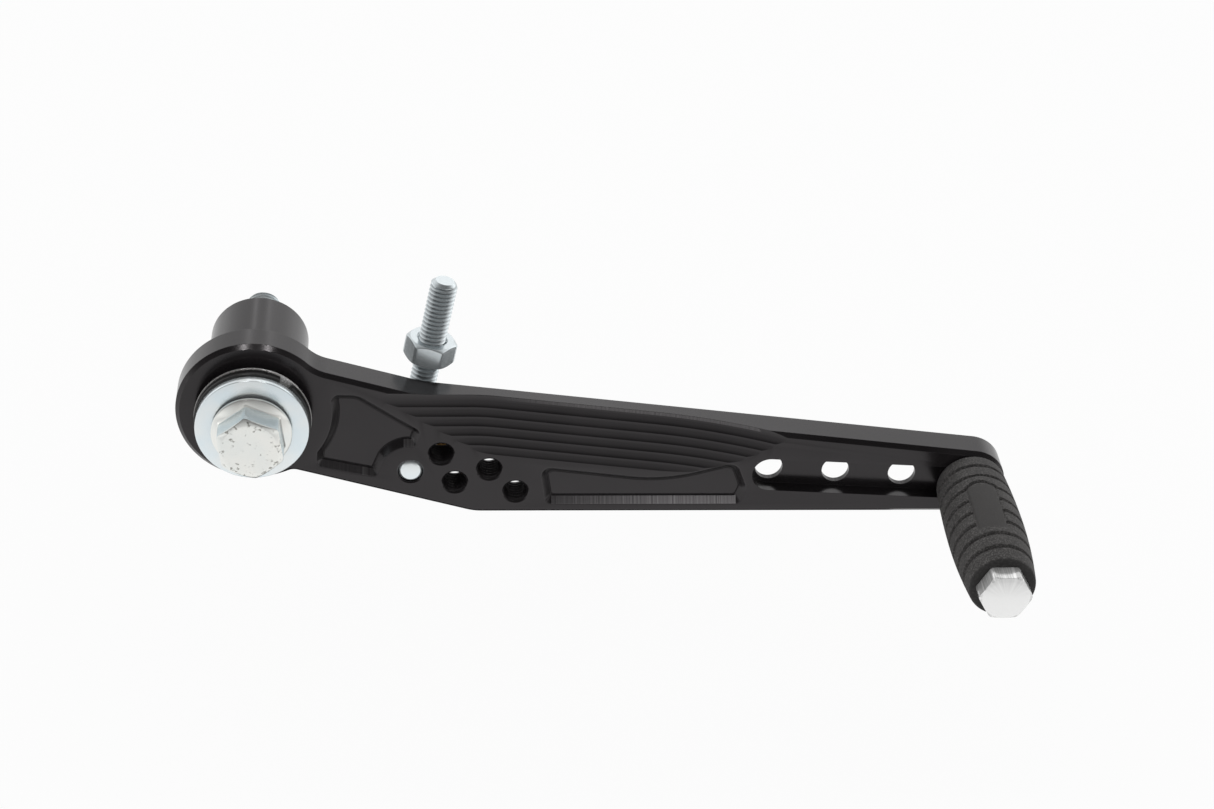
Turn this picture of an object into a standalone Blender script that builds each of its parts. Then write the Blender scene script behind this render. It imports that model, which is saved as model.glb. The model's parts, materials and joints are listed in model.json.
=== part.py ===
"""Gear shift lever: a milled arm on a bolted pivot, with a toe peg and a linkage rod end.

Frame: +X runs along the arm to the peg, +Y along the pivot axis towards the machine, +Z up.
The origin lies on the pivot axis, in the plane where the pivot sleeve seats on the machine.
"""
import math

import bmesh
import bpy
from mathutils import Matrix, Vector

MM = 0.001

# Clearances, and how far a cutter runs past the face that it opens
SEAT_GAP = 0.2 * MM
FIT_GAP = 0.15 * MM
THREAD_GAP = 0.1 * MM
CUT_OVER = 2.0 * MM

# Arm: eye, neck, blade and rounded end, all cut from one plate
ARM_THICKNESS = 8.0 * MM
ARM_CHAMFER = 0.9 * MM
EYE_RADIUS = 16.5 * MM
NECK_ANGLE = math.radians(15.7)
NECK_ABOVE = 13.3 * MM
NECK_BELOW = 11.8 * MM
NECK_TOP_FILLET = 9.5 * MM
NECK_LOW_FILLET = 3.0 * MM
KNEE_TOP_RADIUS = 30.0 * MM
KNEE_LOW_RADIUS = 12.0 * MM
BLADE_TAPER = math.radians(6.55)
END_X = 155.9 * MM
END_Z = -17.8 * MM
END_RADIUS = 7.7 * MM

# Hub behind the eye
HUB_RADIUS = 10.7 * MM
HUB_LENGTH = 31.5 * MM
HUB_EDGE = 0.4 * MM

# Pivot stack
SLEEVE_RADIUS = 6.0 * MM
SLEEVE_PROUD = 1.8 * MM
BUSH_WALL = 2.0 * MM
BUSH_LENGTH = 12.0 * MM
BUSH_FLANGE_RADIUS = 10.3 * MM
BUSH_FLANGE = 1.6 * MM
THRUST_RADIUS = 12.45 * MM
THRUST_THICKNESS = 0.5 * MM
RING_RADIUS = 12.35 * MM
RING_WIDTH = 3.2 * MM
RING_THICKNESS = 1.9 * MM
RING_EDGE = 0.2 * MM
RING_SPLIT = 2.7 * MM
RING_SPLIT_ANGLE = math.radians(37.0)
WASHER_RADIUS = 12.0 * MM
WASHER_THICKNESS = 2.0 * MM
WASHER_EDGE = 0.25 * MM
BOLT_RADIUS = 3.9 * MM
BOLT_LENGTH = 54.0 * MM
BOLT_POINT = 0.8 * MM
BOLT_FLANGE_RADIUS = 8.5 * MM
BOLT_FLANGE_RIM = 1.5 * MM
BOLT_FLANGE_SLOPE = 0.9 * MM
BOLT_HEX = 13.0 * MM
BOLT_HEAD = 8.0 * MM
BOLT_TURN = math.radians(-7.5)

# Linkage holes, tapped through the neck and blade: the rod end's own, and the spare ones from it
TAP_RADIUS = 2.7 * MM
TAP_CHAMFER = 0.65 * MM
ROD_X = 33.3 * MM
ROD_Z = -14.8 * MM
SPARE_HOLES = (
    (6.6 * MM, 4.5 * MM),
    (9.6 * MM, -2.7 * MM),
    (17.0 * MM, 0.6 * MM),
    (22.8 * MM, -5.1 * MM),
)

# Milled pockets in the front face, with sloping walls and corner radii: (x, z, r)
POCKET_DEPTH = 1.5 * MM
POCKET_SLOPE = 1.35 * MM
POCKET_EYE_RADIUS = 16.5 * MM
POCKET_EYE_ANGLES = (-37.0, 10.0)
POCKET_HOLE_RADIUS = 6.3 * MM
POCKET_HOLE_ANGLES = (97.0, 150.0)
NECK_POCKET_TOP = (
    (17.1 * MM, 4.6 * MM, 2.0 * MM),
    (22.2 * MM, 4.45 * MM, 5.0 * MM),
    (35.6 * MM, -4.6 * MM, 1.7 * MM),
    (34.4 * MM, -8.7 * MM, 1.45 * MM),
)
NECK_POCKET_LOW = (
    (26.0 * MM, -16.3 * MM, 1.5 * MM),
    (12.9 * MM, -13.4 * MM, 1.5 * MM),
)
BLADE_POCKET = (
    (61.0 * MM, -13.5 * MM, 2.2 * MM),
    (88.2 * MM, -16.9 * MM, 18.0 * MM),
    (104.2 * MM, -12.4 * MM, 2.6 * MM),
    (106.8 * MM, -19.3 * MM, 3.0 * MM),
    (105.3 * MM, -23.2 * MM, 1.6 * MM),
    (62.6 * MM, -23.2 * MM, 1.6 * MM),
)

# Stepped scoop: parallel flutes, each a step deeper towards the top edge
FLUTES = 6
FLUTE_RADIUS = 2.6 * MM
FLUTE_PITCH = 1.95 * MM
FLUTE_FIRST = 0.6 * MM
FLUTE_STEP = 0.72 * MM
FLUTE_LEFT = 49.0 * MM
FLUTE_RAMP = 0.19
FLUTE_BLEND = 3.0 * MM
FLUTE_RIGHT = 86.0 * MM
FLUTE_ARC = 100.0 * MM
FLUTE_TOP_INSET = 1.03 * MM

# Peg slots and peg holes
PEG_HOLES = 4
PEG_Z = -18.0 * MM
PEG_PITCH = 14.78 * MM
SLOT_ANGLE = math.radians(3.0)
SLOT_WIDTH = 8.0 * MM
SLOT_DEPTH = 3.3 * MM
BACK_SLOT_WIDTH = 11.0 * MM
BACK_SLOT_DEPTH = 3.3 * MM
PEG_HOLE_RADIUS = 3.0 * MM

# Toe peg
PEG_HEX = 10.0 * MM
PEG_LENGTH = 44.0 * MM
PEG_TIP_RADIUS = 4.7 * MM
PEG_TIP_TAPER = 1.0 * MM
PEG_DOME = 0.5 * MM
PEG_THREAD_DEPTH = 13.0 * MM
RUBBER_LENGTH = 39.2 * MM
RUBBER_FRONT_RADIUS = 7.0 * MM
RUBBER_BACK_RADIUS = 7.5 * MM
RUBBER_MID_RADIUS = 8.25 * MM
RUBBER_EDGE = 0.5 * MM
GROOVES = 8
GROOVE_WIDTH = 0.7 * MM
GROOVE_DEPTH = 0.7 * MM
PANEL_FIRST = 2
PANEL_LAST = 5
PANEL_HALF_ANGLE = math.radians(25.0)
PEG_SCREW_RADIUS = TAP_RADIUS - THREAD_GAP
PEG_SCREW_HEAD_RADIUS = 5.1 * MM
PEG_SCREW_HEAD = 2.9 * MM
PEG_SCREW_DOME = math.radians(55.0)
PEG_SCREW_LENGTH = 12.0 * MM
PEG_SCREW_KEY = 4.0 * MM
PEG_SCREW_KEY_DEPTH = 1.7 * MM

# Linkage rod end on the first linkage hole
BALL_RADIUS = 6.35 * MM
BALL_WIDTH = 9.0 * MM
BALL_BORE_RADIUS = 3.05 * MM
SPACER_RADIUS = 6.0 * MM
SPACER_THICKNESS = 1.6 * MM
RACE_WIDTH = 6.4 * MM
RACE_WALL = 1.8 * MM
HOUSING_WIDTH = 6.8 * MM
HOUSING_RADIUS = 10.2 * MM
HOUSING_EDGE = 0.5 * MM
ROD_LEAN = math.radians(10.6)
ROD_LENGTH = 39.8 * MM
ROD_RADIUS = 2.9 * MM
ROD_POINT = 0.9 * MM
ROD_NECK_RADIUS = 3.9 * MM
ROD_NECK_END = 14.0 * MM
ROD_NECK_SLOPE = 1.5 * MM
NUT_CENTRE = 22.9 * MM
NUT_HEX = 10.0 * MM
NUT_HEIGHT = 5.0 * MM
NUT_TURN = math.radians(-7.0)
SCREW_HEX = 10.0 * MM
SCREW_HEAD = 4.0 * MM
SCREW_POINT = 0.7 * MM

# Hexagon corners are turned off at this angle, from a circle a little inside the flats
HEX_TURN_ANGLE = math.radians(30.0)
HEX_TURN_INSET = 0.2 * MM

# Facets
ROUND = 36
FINE = 48
SMALL = 28

# Places along the pivot axis
HUB_BACK = -SLEEVE_PROUD
ARM_FRONT = HUB_BACK - HUB_LENGTH
ARM_BACK = ARM_FRONT + ARM_THICKNESS
FLANGE_BACK = ARM_FRONT - SEAT_GAP
FLANGE_FRONT = FLANGE_BACK - BUSH_FLANGE
THRUST_BACK = FLANGE_FRONT - SEAT_GAP
THRUST_FRONT = THRUST_BACK - THRUST_THICKNESS
RING_BACK = THRUST_FRONT - SEAT_GAP
RING_FRONT = RING_BACK - RING_THICKNESS
WASHER_BACK = RING_FRONT - SEAT_GAP
WASHER_FRONT = WASHER_BACK - WASHER_THICKNESS
BOLT_SEAT = WASHER_FRONT - SEAT_GAP
BUSH_BORE = SLEEVE_RADIUS + FIT_GAP
BUSH_RADIUS = BUSH_BORE + BUSH_WALL
HUB_BORE = BUSH_RADIUS + FIT_GAP
BOLT_BORE = BOLT_RADIUS + FIT_GAP * 2.0
LINK_HOLES = [(ROD_X, ROD_Z)] + [(ROD_X + along, ROD_Z + up) for along, up in SPARE_HOLES]
SPACER_FRONT = ARM_BACK + SEAT_GAP
BALL_FRONT = SPACER_FRONT + SPACER_THICKNESS + SEAT_GAP
BALL_Y = BALL_FRONT + BALL_WIDTH / 2.0
WEB_BACK = ARM_BACK - BACK_SLOT_DEPTH
SLOT_FLOOR = ARM_FRONT + SLOT_DEPTH


def clear_scene():
    for item in list(bpy.data.objects):
        bpy.data.objects.remove(item, do_unlink=True)


def collection(name):
    group = bpy.data.collections.new(name)
    bpy.context.scene.collection.children.link(group)
    return group


def material(name, colour, metallic, roughness):
    mat = bpy.data.materials.new(name)
    mat.use_nodes = True
    shader = mat.node_tree.nodes["Principled BSDF"]
    shader.inputs["Base Color"].default_value = (*colour, 1.0)
    shader.inputs["Metallic"].default_value = metallic
    shader.inputs["Roughness"].default_value = roughness
    mat.diffuse_color = (*colour, 1.0)
    return mat


def place(name, mesh, group, turn=None, at=(0.0, 0.0, 0.0), parent=None):
    obj = bpy.data.objects.new(name, mesh)
    group.objects.link(obj)
    obj.location = at
    if turn:
        obj.rotation_euler = turn
    if parent:
        obj.parent = parent
    return obj


def hide(obj):
    obj.hide_render = True
    obj.display_type = "WIRE"
    return obj


def combine(target, tool, operation="DIFFERENCE"):
    mod = target.modifiers.new(operation.lower() + "_" + tool.name, "BOOLEAN")
    mod.operation = operation
    mod.solver = "EXACT"
    mod.object = tool
    return mod


def smooth(obj, degrees=35.0):
    obj.data.shade_smooth()
    obj.data.set_sharp_from_angle(angle=math.radians(degrees))


# Local +Z of a turned piece lies along the pivot axis, +Y
ALONG_PIVOT = (math.radians(-90.0), 0.0, 0.0)
# A hexagon stands on a corner, and turned by this much on a flat
FLAT_UP = math.radians(30.0)


def turned(name, profile, group, closed=True, steps=ROUND, turn=ALONG_PIVOT, at=(0.0, 0.0, 0.0),
           parent=None):
    """Revolve (radius, height) points, given down the outer side first, about local Z."""
    mesh = bpy.data.meshes.new(name)
    shape = bmesh.new()
    points = [shape.verts.new((r, 0.0, z)) for r, z in profile]
    for first, second in zip(points, points[1:]):
        shape.edges.new((first, second))
    if closed:
        shape.edges.new((points[-1], points[0]))
    shape.to_mesh(mesh)
    shape.free()
    obj = place(name, mesh, group, turn, at, parent)
    mod = obj.modifiers.new("revolve", "SCREW")
    mod.axis = "Z"
    mod.angle = 2.0 * math.pi
    mod.steps = steps
    mod.render_steps = steps
    mod.use_merge_vertices = True
    mod.merge_threshold = 0.00001
    mod.use_smooth_shade = True
    return obj


def as_mesh(obj, group):
    """Replace a curve by its evaluated mesh, with the caps welded on."""
    bpy.context.view_layer.update()
    graph = bpy.context.evaluated_depsgraph_get()
    mesh = bpy.data.meshes.new_from_object(obj.evaluated_get(graph))
    shape = bmesh.new()
    shape.from_mesh(mesh)
    bmesh.ops.remove_doubles(shape, verts=shape.verts, dist=0.000001)
    bmesh.ops.recalc_face_normals(shape, faces=shape.faces)
    shape.to_mesh(mesh)
    shape.free()
    solid = bpy.data.objects.new(obj.name + "_solid", mesh)
    group.objects.link(solid)
    solid.matrix_world = obj.matrix_world.copy()
    curve = obj.data
    bpy.data.objects.remove(obj, do_unlink=True)
    bpy.data.curves.remove(curve)
    return solid


def plate(name, outline, front, back, group, edge=0.0, edge_steps=0):
    """Fill an outline in the XZ plane and extrude it from one Y to another, edges broken."""
    curve = bpy.data.curves.new(name, "CURVE")
    curve.dimensions = "2D"
    curve.fill_mode = "BOTH"
    spline = curve.splines.new("POLY")
    spline.points.add(len(outline) - 1)
    for point, (x, z) in zip(spline.points, outline):
        point.co = (x, z, 0.0, 1.0)
    spline.use_cyclic_u = True
    curve.extrude = (back - front) / 2.0 - edge
    if edge > 0.0:
        curve.bevel_depth = edge
        curve.bevel_resolution = edge_steps
        curve.offset = -edge
    obj = bpy.data.objects.new(name, curve)
    group.objects.link(obj)
    obj.rotation_euler = (math.radians(90.0), 0.0, 0.0)
    obj.location = (0.0, (front + back) / 2.0, 0.0)
    return as_mesh(obj, group)


def rod(name, points, radius, group, sides=10):
    """A solid round bar along a run of points."""
    curve = bpy.data.curves.new(name, "CURVE")
    curve.dimensions = "3D"
    curve.bevel_depth = radius
    curve.bevel_resolution = sides
    curve.use_fill_caps = True
    spline = curve.splines.new("POLY")
    spline.points.add(len(points) - 1)
    for point, co in zip(spline.points, points):
        point.co = (*co, 1.0)
    obj = bpy.data.objects.new(name, curve)
    group.objects.link(obj)
    return as_mesh(obj, group)


def hexagon(name, across, height, group, turn=ALONG_PIVOT, at=(0.0, 0.0, 0.0), parent=None, spin=0.0):
    """A six-sided bar of the given width across flats, centred, along local Z."""
    mesh = bpy.data.meshes.new(name)
    shape = bmesh.new()
    corner = across / math.sqrt(3.0)
    bmesh.ops.create_cone(shape, cap_ends=True, segments=6, radius1=corner, radius2=corner, depth=height,
                          matrix=Matrix.Rotation(spin, 4, "Z"))
    shape.to_mesh(mesh)
    shape.free()
    return place(name, mesh, group, turn, at, parent)


def drill(name, radius, front, back, x, z, group, steps=32):
    """A plain round cutter along Y."""
    mesh = bpy.data.meshes.new(name)
    shape = bmesh.new()
    bmesh.ops.create_cone(shape, cap_ends=True, segments=steps, radius1=radius, radius2=radius,
                          depth=back - front)
    shape.to_mesh(mesh)
    shape.free()
    return hide(place(name, mesh, group, ALONG_PIVOT, (x, (front + back) / 2.0, z)))


def arc(cx, cz, radius, start, stop, steps):
    """Points on an arc, in radians from +X towards +Z, ends included."""
    return [(cx + radius * math.cos(start + (stop - start) * i / steps),
             cz + radius * math.sin(start + (stop - start) * i / steps)) for i in range(steps + 1)]


def rounded(corners, steps=5):
    """An outline through (x, z, radius) corners, each replaced by its tangent arc."""
    outline = []
    count = len(corners)
    for i, (x, z, radius) in enumerate(corners):
        here = Vector((x, z))
        before = (Vector(corners[i - 1][:2]) - here).normalized()
        after = (Vector(corners[(i + 1) % count][:2]) - here).normalized()
        if radius <= 0.0:
            outline.append((x, z))
            continue
        half = before.angle(after) / 2.0
        centre = here + (before + after).normalized() * (radius / math.sin(half))
        first = here + before * (radius / math.tan(half)) - centre
        last = here + after * (radius / math.tan(half)) - centre
        swing = first.angle_signed(last)
        for k in range(steps + 1):
            spot = centre + Matrix.Rotation(-swing * k / steps, 2) @ first
            outline.append((spot.x, spot.y))
    return outline


def meet(normal_a, offset_a, normal_b, offset_b):
    """Where two lines given by unit normal and offset cross."""
    det = normal_a[0] * normal_b[1] - normal_a[1] * normal_b[0]
    x = (offset_a * normal_b[1] - offset_b * normal_a[1]) / det
    z = (normal_a[0] * offset_b - normal_b[0] * offset_a) / det
    return x, z


def eye_fillet(side, offset, radius):
    """Arc that joins the eye to a neck edge at the given offset above (+1) or below (-1)."""
    along = Vector((math.cos(NECK_ANGLE), -math.sin(NECK_ANGLE)))
    out = Vector((math.sin(NECK_ANGLE), math.cos(NECK_ANGLE))) * side
    reach = math.sqrt((EYE_RADIUS + radius) ** 2 - (offset + radius) ** 2)
    centre = out * (offset + radius) + along * reach
    to_eye = math.atan2(-centre.y, -centre.x)
    to_edge = math.atan2(-out.y, -out.x)
    return centre, to_eye, to_edge


def near(angle, other):
    """The same angle, shifted by whole turns to lie within half a turn of another."""
    return angle - 2.0 * math.pi * round((angle - other) / (2.0 * math.pi))


NECK_NORMAL = (math.sin(NECK_ANGLE), math.cos(NECK_ANGLE))
BLADE_NORMAL = (math.sin(BLADE_TAPER), math.cos(BLADE_TAPER))
BLADE_OFFSET = END_X * BLADE_NORMAL[0] + END_Z * BLADE_NORMAL[1] + END_RADIUS


def blade_top(x):
    """Height of the blade's top edge at a place along the arm."""
    return (BLADE_OFFSET - x * BLADE_NORMAL[0]) / BLADE_NORMAL[1]


def arm_outline():
    """Eye, neck, knee, tapering blade and round end, run clockwise from under the eye."""
    top_centre, top_eye, top_edge = eye_fillet(1.0, NECK_ABOVE, NECK_TOP_FILLET)
    low_centre, low_eye, low_edge = eye_fillet(-1.0, NECK_BELOW, NECK_LOW_FILLET)
    start = low_eye + math.pi
    stop = top_eye + math.pi
    while start > 0.0:
        start -= 2.0 * math.pi
    while stop > start:
        stop -= 2.0 * math.pi
    eye = arc(0.0, 0.0, EYE_RADIUS, start, stop, 40)
    top_edge = near(top_edge, top_eye)
    low_eye_end = near(low_eye, low_edge)
    top = arc(top_centre.x, top_centre.y, NECK_TOP_FILLET, top_eye, top_edge, 8)
    low = arc(low_centre.x, low_centre.y, NECK_LOW_FILLET, low_edge, low_eye_end, 4)
    knee = meet(NECK_NORMAL, NECK_ABOVE, BLADE_NORMAL, BLADE_OFFSET)
    heel = meet(NECK_NORMAL, -NECK_BELOW, (0.0, 1.0), END_Z - END_RADIUS)
    end = arc(END_X, END_Z, END_RADIUS, math.pi / 2.0 - BLADE_TAPER, -math.pi / 2.0, 22)
    knee_arc = rounded([(*top[-1], 0.0), (*knee, KNEE_TOP_RADIUS), (*end[0], 0.0)], 4)[1:-1]
    heel_arc = rounded([(*end[-1], 0.0), (*heel, KNEE_LOW_RADIUS), (*low[0], 0.0)], 5)[1:-1]
    return eye[1:] + top[1:] + knee_arc + end + heel_arc + low[:-1]


def neck_pocket_outline():
    """Pocket between the eye's wall, the scoop and the wall round the first linkage hole."""
    first, last = (math.radians(a) for a in POCKET_EYE_ANGLES)
    eye = [(x, z, 0.0) for x, z in arc(0.0, 0.0, POCKET_EYE_RADIUS, first, last, 6)]
    first, last = (math.radians(a) for a in POCKET_HOLE_ANGLES)
    hole = [(x, z, 0.0) for x, z in arc(ROD_X, ROD_Z, POCKET_HOLE_RADIUS, first, last, 7)]
    return rounded(eye + list(NECK_POCKET_TOP) + hole + list(NECK_POCKET_LOW))


def stadium(width, steps=12):
    """Long hole round the row of peg holes."""
    along = Vector((-math.cos(SLOT_ANGLE), math.sin(SLOT_ANGLE))) * PEG_PITCH * (PEG_HOLES - 1)
    tilt = -SLOT_ANGLE
    right = arc(END_X, PEG_Z, width / 2.0, tilt + math.pi / 2.0, tilt - math.pi / 2.0, steps)
    left = arc(END_X + along.x, PEG_Z + along.y, width / 2.0, tilt - math.pi / 2.0,
               tilt - 1.5 * math.pi, steps)
    return right + left


def peg_spot(index):
    """Centre of a peg hole, counted from the arm's end."""
    reach = PEG_PITCH * index
    return END_X - reach * math.cos(SLOT_ANGLE), PEG_Z + reach * math.sin(SLOT_ANGLE)


def flute_path(index):
    """One flute, parallel to the blade's top edge: down a ramp, level, then out on an arc."""
    deepest = FLUTE_FIRST + FLUTE_STEP * index
    inset = FLUTE_TOP_INSET + FLUTE_PITCH * (FLUTES - 1 - index)
    out = deepest + CUT_OVER
    spots = [(FLUTE_LEFT - out / FLUTE_RAMP, out)]
    count = 4
    for i in range(count):
        run = FLUTE_BLEND * (1.0 - 2.0 * i / (count - 1))
        spots.append((FLUTE_LEFT - run, FLUTE_RAMP * (run + FLUTE_BLEND) ** 2 / (4.0 * FLUTE_BLEND)))
    reach = math.sqrt(2.0 * FLUTE_ARC * out)
    count = 10
    for i in range(count + 1):
        run = reach * i / count
        spots.append((FLUTE_RIGHT + run, FLUTE_ARC - math.sqrt(FLUTE_ARC ** 2 - run ** 2)))
    return [(x, ARM_FRONT + deepest - FLUTE_RADIUS - rise, blade_top(x) - inset) for x, rise in spots]


def tapped_profile(front, back):
    """Cutter for a through hole, widened at both faces."""
    wide = TAP_RADIUS + TAP_CHAMFER + CUT_OVER
    return [(0.0, back + CUT_OVER), (wide, back + CUT_OVER), (TAP_RADIUS, back - TAP_CHAMFER),
            (TAP_RADIUS, front + TAP_CHAMFER), (wide, front - CUT_OVER), (0.0, front - CUT_OVER)]


def lever_arm(group, tools, mat):
    arm = plate("lever_arm", arm_outline(), ARM_FRONT, ARM_BACK, tools, ARM_CHAMFER)
    tools.objects.unlink(arm)
    group.objects.link(arm)
    arm.name = "lever_arm"
    arm.data.materials.append(mat)
    joint = ARM_FRONT + ARM_THICKNESS / 2.0
    hub = hide(turned("hub_form", [
        (0.0, HUB_BACK),
        (HUB_RADIUS - HUB_EDGE, HUB_BACK),
        (HUB_RADIUS, HUB_BACK - HUB_EDGE),
        (HUB_RADIUS, joint),
        (0.0, joint),
    ], tools, closed=False, steps=FINE))
    combine(arm, hub, "UNION")
    before = ARM_FRONT - CUT_OVER
    behind = ARM_BACK + CUT_OVER
    combine(arm, drill("hub_bore_form", HUB_BORE, before, HUB_BACK + CUT_OVER, 0.0, 0.0, tools, FINE))
    for i in range(FLUTES):
        combine(arm, hide(rod("flute_form_%d" % (i + 1), flute_path(i), FLUTE_RADIUS, tools)))
    for name, outline in (("neck_pocket_form", neck_pocket_outline()),
                          ("blade_pocket_form", rounded(BLADE_POCKET))):
        combine(arm, hide(plate(name, outline, before, ARM_FRONT + POCKET_DEPTH, tools, POCKET_SLOPE)))
    combine(arm, hide(plate("slot_form", stadium(SLOT_WIDTH), before, SLOT_FLOOR, tools)))
    combine(arm, hide(plate("back_slot_form", stadium(BACK_SLOT_WIDTH), WEB_BACK, behind, tools)))
    for i in range(PEG_HOLES):
        x, z = peg_spot(i)
        combine(arm, drill("peg_hole_form_%d" % (i + 1), PEG_HOLE_RADIUS, before, behind, x, z, tools))
    for i, (x, z) in enumerate(LINK_HOLES):
        hole = turned("link_hole_form_%d" % (i + 1), tapped_profile(ARM_FRONT, ARM_BACK), tools,
                      closed=False, steps=24, at=(x, 0.0, z))
        combine(arm, hide(hole))
    smooth(arm)
    return arm


def ring_profile(outer, inner, front, back, edge=0.0):
    """Section of a flat ring, with its outer edges broken."""
    if edge <= 0.0:
        return [(outer, back), (outer, front), (inner, front), (inner, back)]
    return [(outer - edge, back), (outer, back - edge), (outer, front + edge), (outer - edge, front),
            (inner, front), (inner, back)]


def pivot_pieces(group, tools, mats):
    sleeve = turned("pivot_sleeve", ring_profile(SLEEVE_RADIUS, BOLT_BORE, WASHER_BACK + SEAT_GAP, 0.0),
                    group)
    washer = turned("pivot_washer", ring_profile(WASHER_RADIUS, BOLT_BORE, WASHER_FRONT, WASHER_BACK,
                                                 WASHER_EDGE), group, steps=FINE)
    thrust = turned("thrust_washer", ring_profile(THRUST_RADIUS, BUSH_BORE, THRUST_FRONT, THRUST_BACK),
                    group, steps=FINE)
    ring = turned("split_ring", ring_profile(RING_RADIUS, RING_RADIUS - RING_WIDTH, RING_FRONT, RING_BACK,
                                             RING_EDGE), group, steps=FINE)
    mesh = bpy.data.meshes.new("ring_split_form")
    shape = bmesh.new()
    bmesh.ops.create_cube(shape, size=1.0)
    bmesh.ops.scale(shape, vec=(RING_SPLIT, RING_THICKNESS * 2.0, RING_RADIUS), verts=shape.verts)
    shape.to_mesh(mesh)
    shape.free()
    away = Vector((math.sin(RING_SPLIT_ANGLE), 0.0, math.cos(RING_SPLIT_ANGLE))) * RING_RADIUS
    split = place("ring_split_form", mesh, tools, (0.0, RING_SPLIT_ANGLE, 0.0),
                  (away.x, (RING_FRONT + RING_BACK) / 2.0, away.z))
    combine(ring, hide(split))
    tip = BOLT_SEAT + BOLT_LENGTH
    shoulder = BOLT_SEAT - BOLT_FLANGE_RIM
    bolt = turned("pivot_bolt", [
        (0.0, tip),
        (BOLT_RADIUS - BOLT_POINT, tip),
        (BOLT_RADIUS, tip - BOLT_POINT),
        (BOLT_RADIUS, BOLT_SEAT),
        (BOLT_FLANGE_RADIUS, BOLT_SEAT),
        (BOLT_FLANGE_RADIUS, shoulder),
        (BOLT_HEX / 2.0, shoulder - BOLT_FLANGE_SLOPE),
        (0.0, shoulder - BOLT_FLANGE_SLOPE),
    ], group, closed=False)
    combine(bolt, hex_head("bolt_head_form", BOLT_HEX, BOLT_SEAT - BOLT_HEAD, shoulder, tools,
                           spin=BOLT_TURN), "UNION")
    bushes = []
    inner_end = ARM_FRONT + BUSH_LENGTH
    bushes.append(turned("front_bush", [
        (BUSH_RADIUS, inner_end),
        (BUSH_RADIUS, FLANGE_BACK),
        (BUSH_FLANGE_RADIUS, FLANGE_BACK),
        (BUSH_FLANGE_RADIUS, FLANGE_FRONT),
        (BUSH_BORE, FLANGE_FRONT),
        (BUSH_BORE, inner_end),
    ], group))
    bushes.append(turned("rear_bush", ring_profile(BUSH_RADIUS, BUSH_BORE, HUB_BACK - BUSH_LENGTH, HUB_BACK),
                         group))
    for obj, key in ((sleeve, "steel"), (washer, "zinc"), (thrust, "steel"), (ring, "black"), (bolt, "zinc"),
                     (bushes[0], "polymer"), (bushes[1], "polymer")):
        obj.data.materials.append(mats[key])


def hex_turning(across):
    """Radii and height of the cone that takes a hexagon's corners off."""
    flat = across / 2.0 - HEX_TURN_INSET
    corner = across / math.sqrt(3.0) + HEX_TURN_INSET
    return flat, corner, (corner - flat) * math.tan(HEX_TURN_ANGLE)


def hex_head(name, across, front, back, tools, spin=0.0):
    """Hexagon along the pivot axis whose free corners are turned off."""
    bar = hexagon(name, across, back - front, tools, at=(0.0, (front + back) / 2.0, 0.0), spin=spin)
    flat, corner, drop = hex_turning(across)
    cone = turned(name + "_cone", [
        (0.0, back + CUT_OVER),
        (corner, back + CUT_OVER),
        (corner, front + drop),
        (flat, front),
        (0.0, front),
    ], tools, closed=False)
    combine(bar, hide(cone), "INTERSECT")
    return hide(bar)


def rubber_radius(reach):
    """Barrel radius of the rubber at a distance from its middle."""
    end = RUBBER_BACK_RADIUS if reach > 0.0 else RUBBER_FRONT_RADIUS
    return RUBBER_MID_RADIUS - (RUBBER_MID_RADIUS - end) * (2.0 * reach / RUBBER_LENGTH) ** 2


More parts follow.
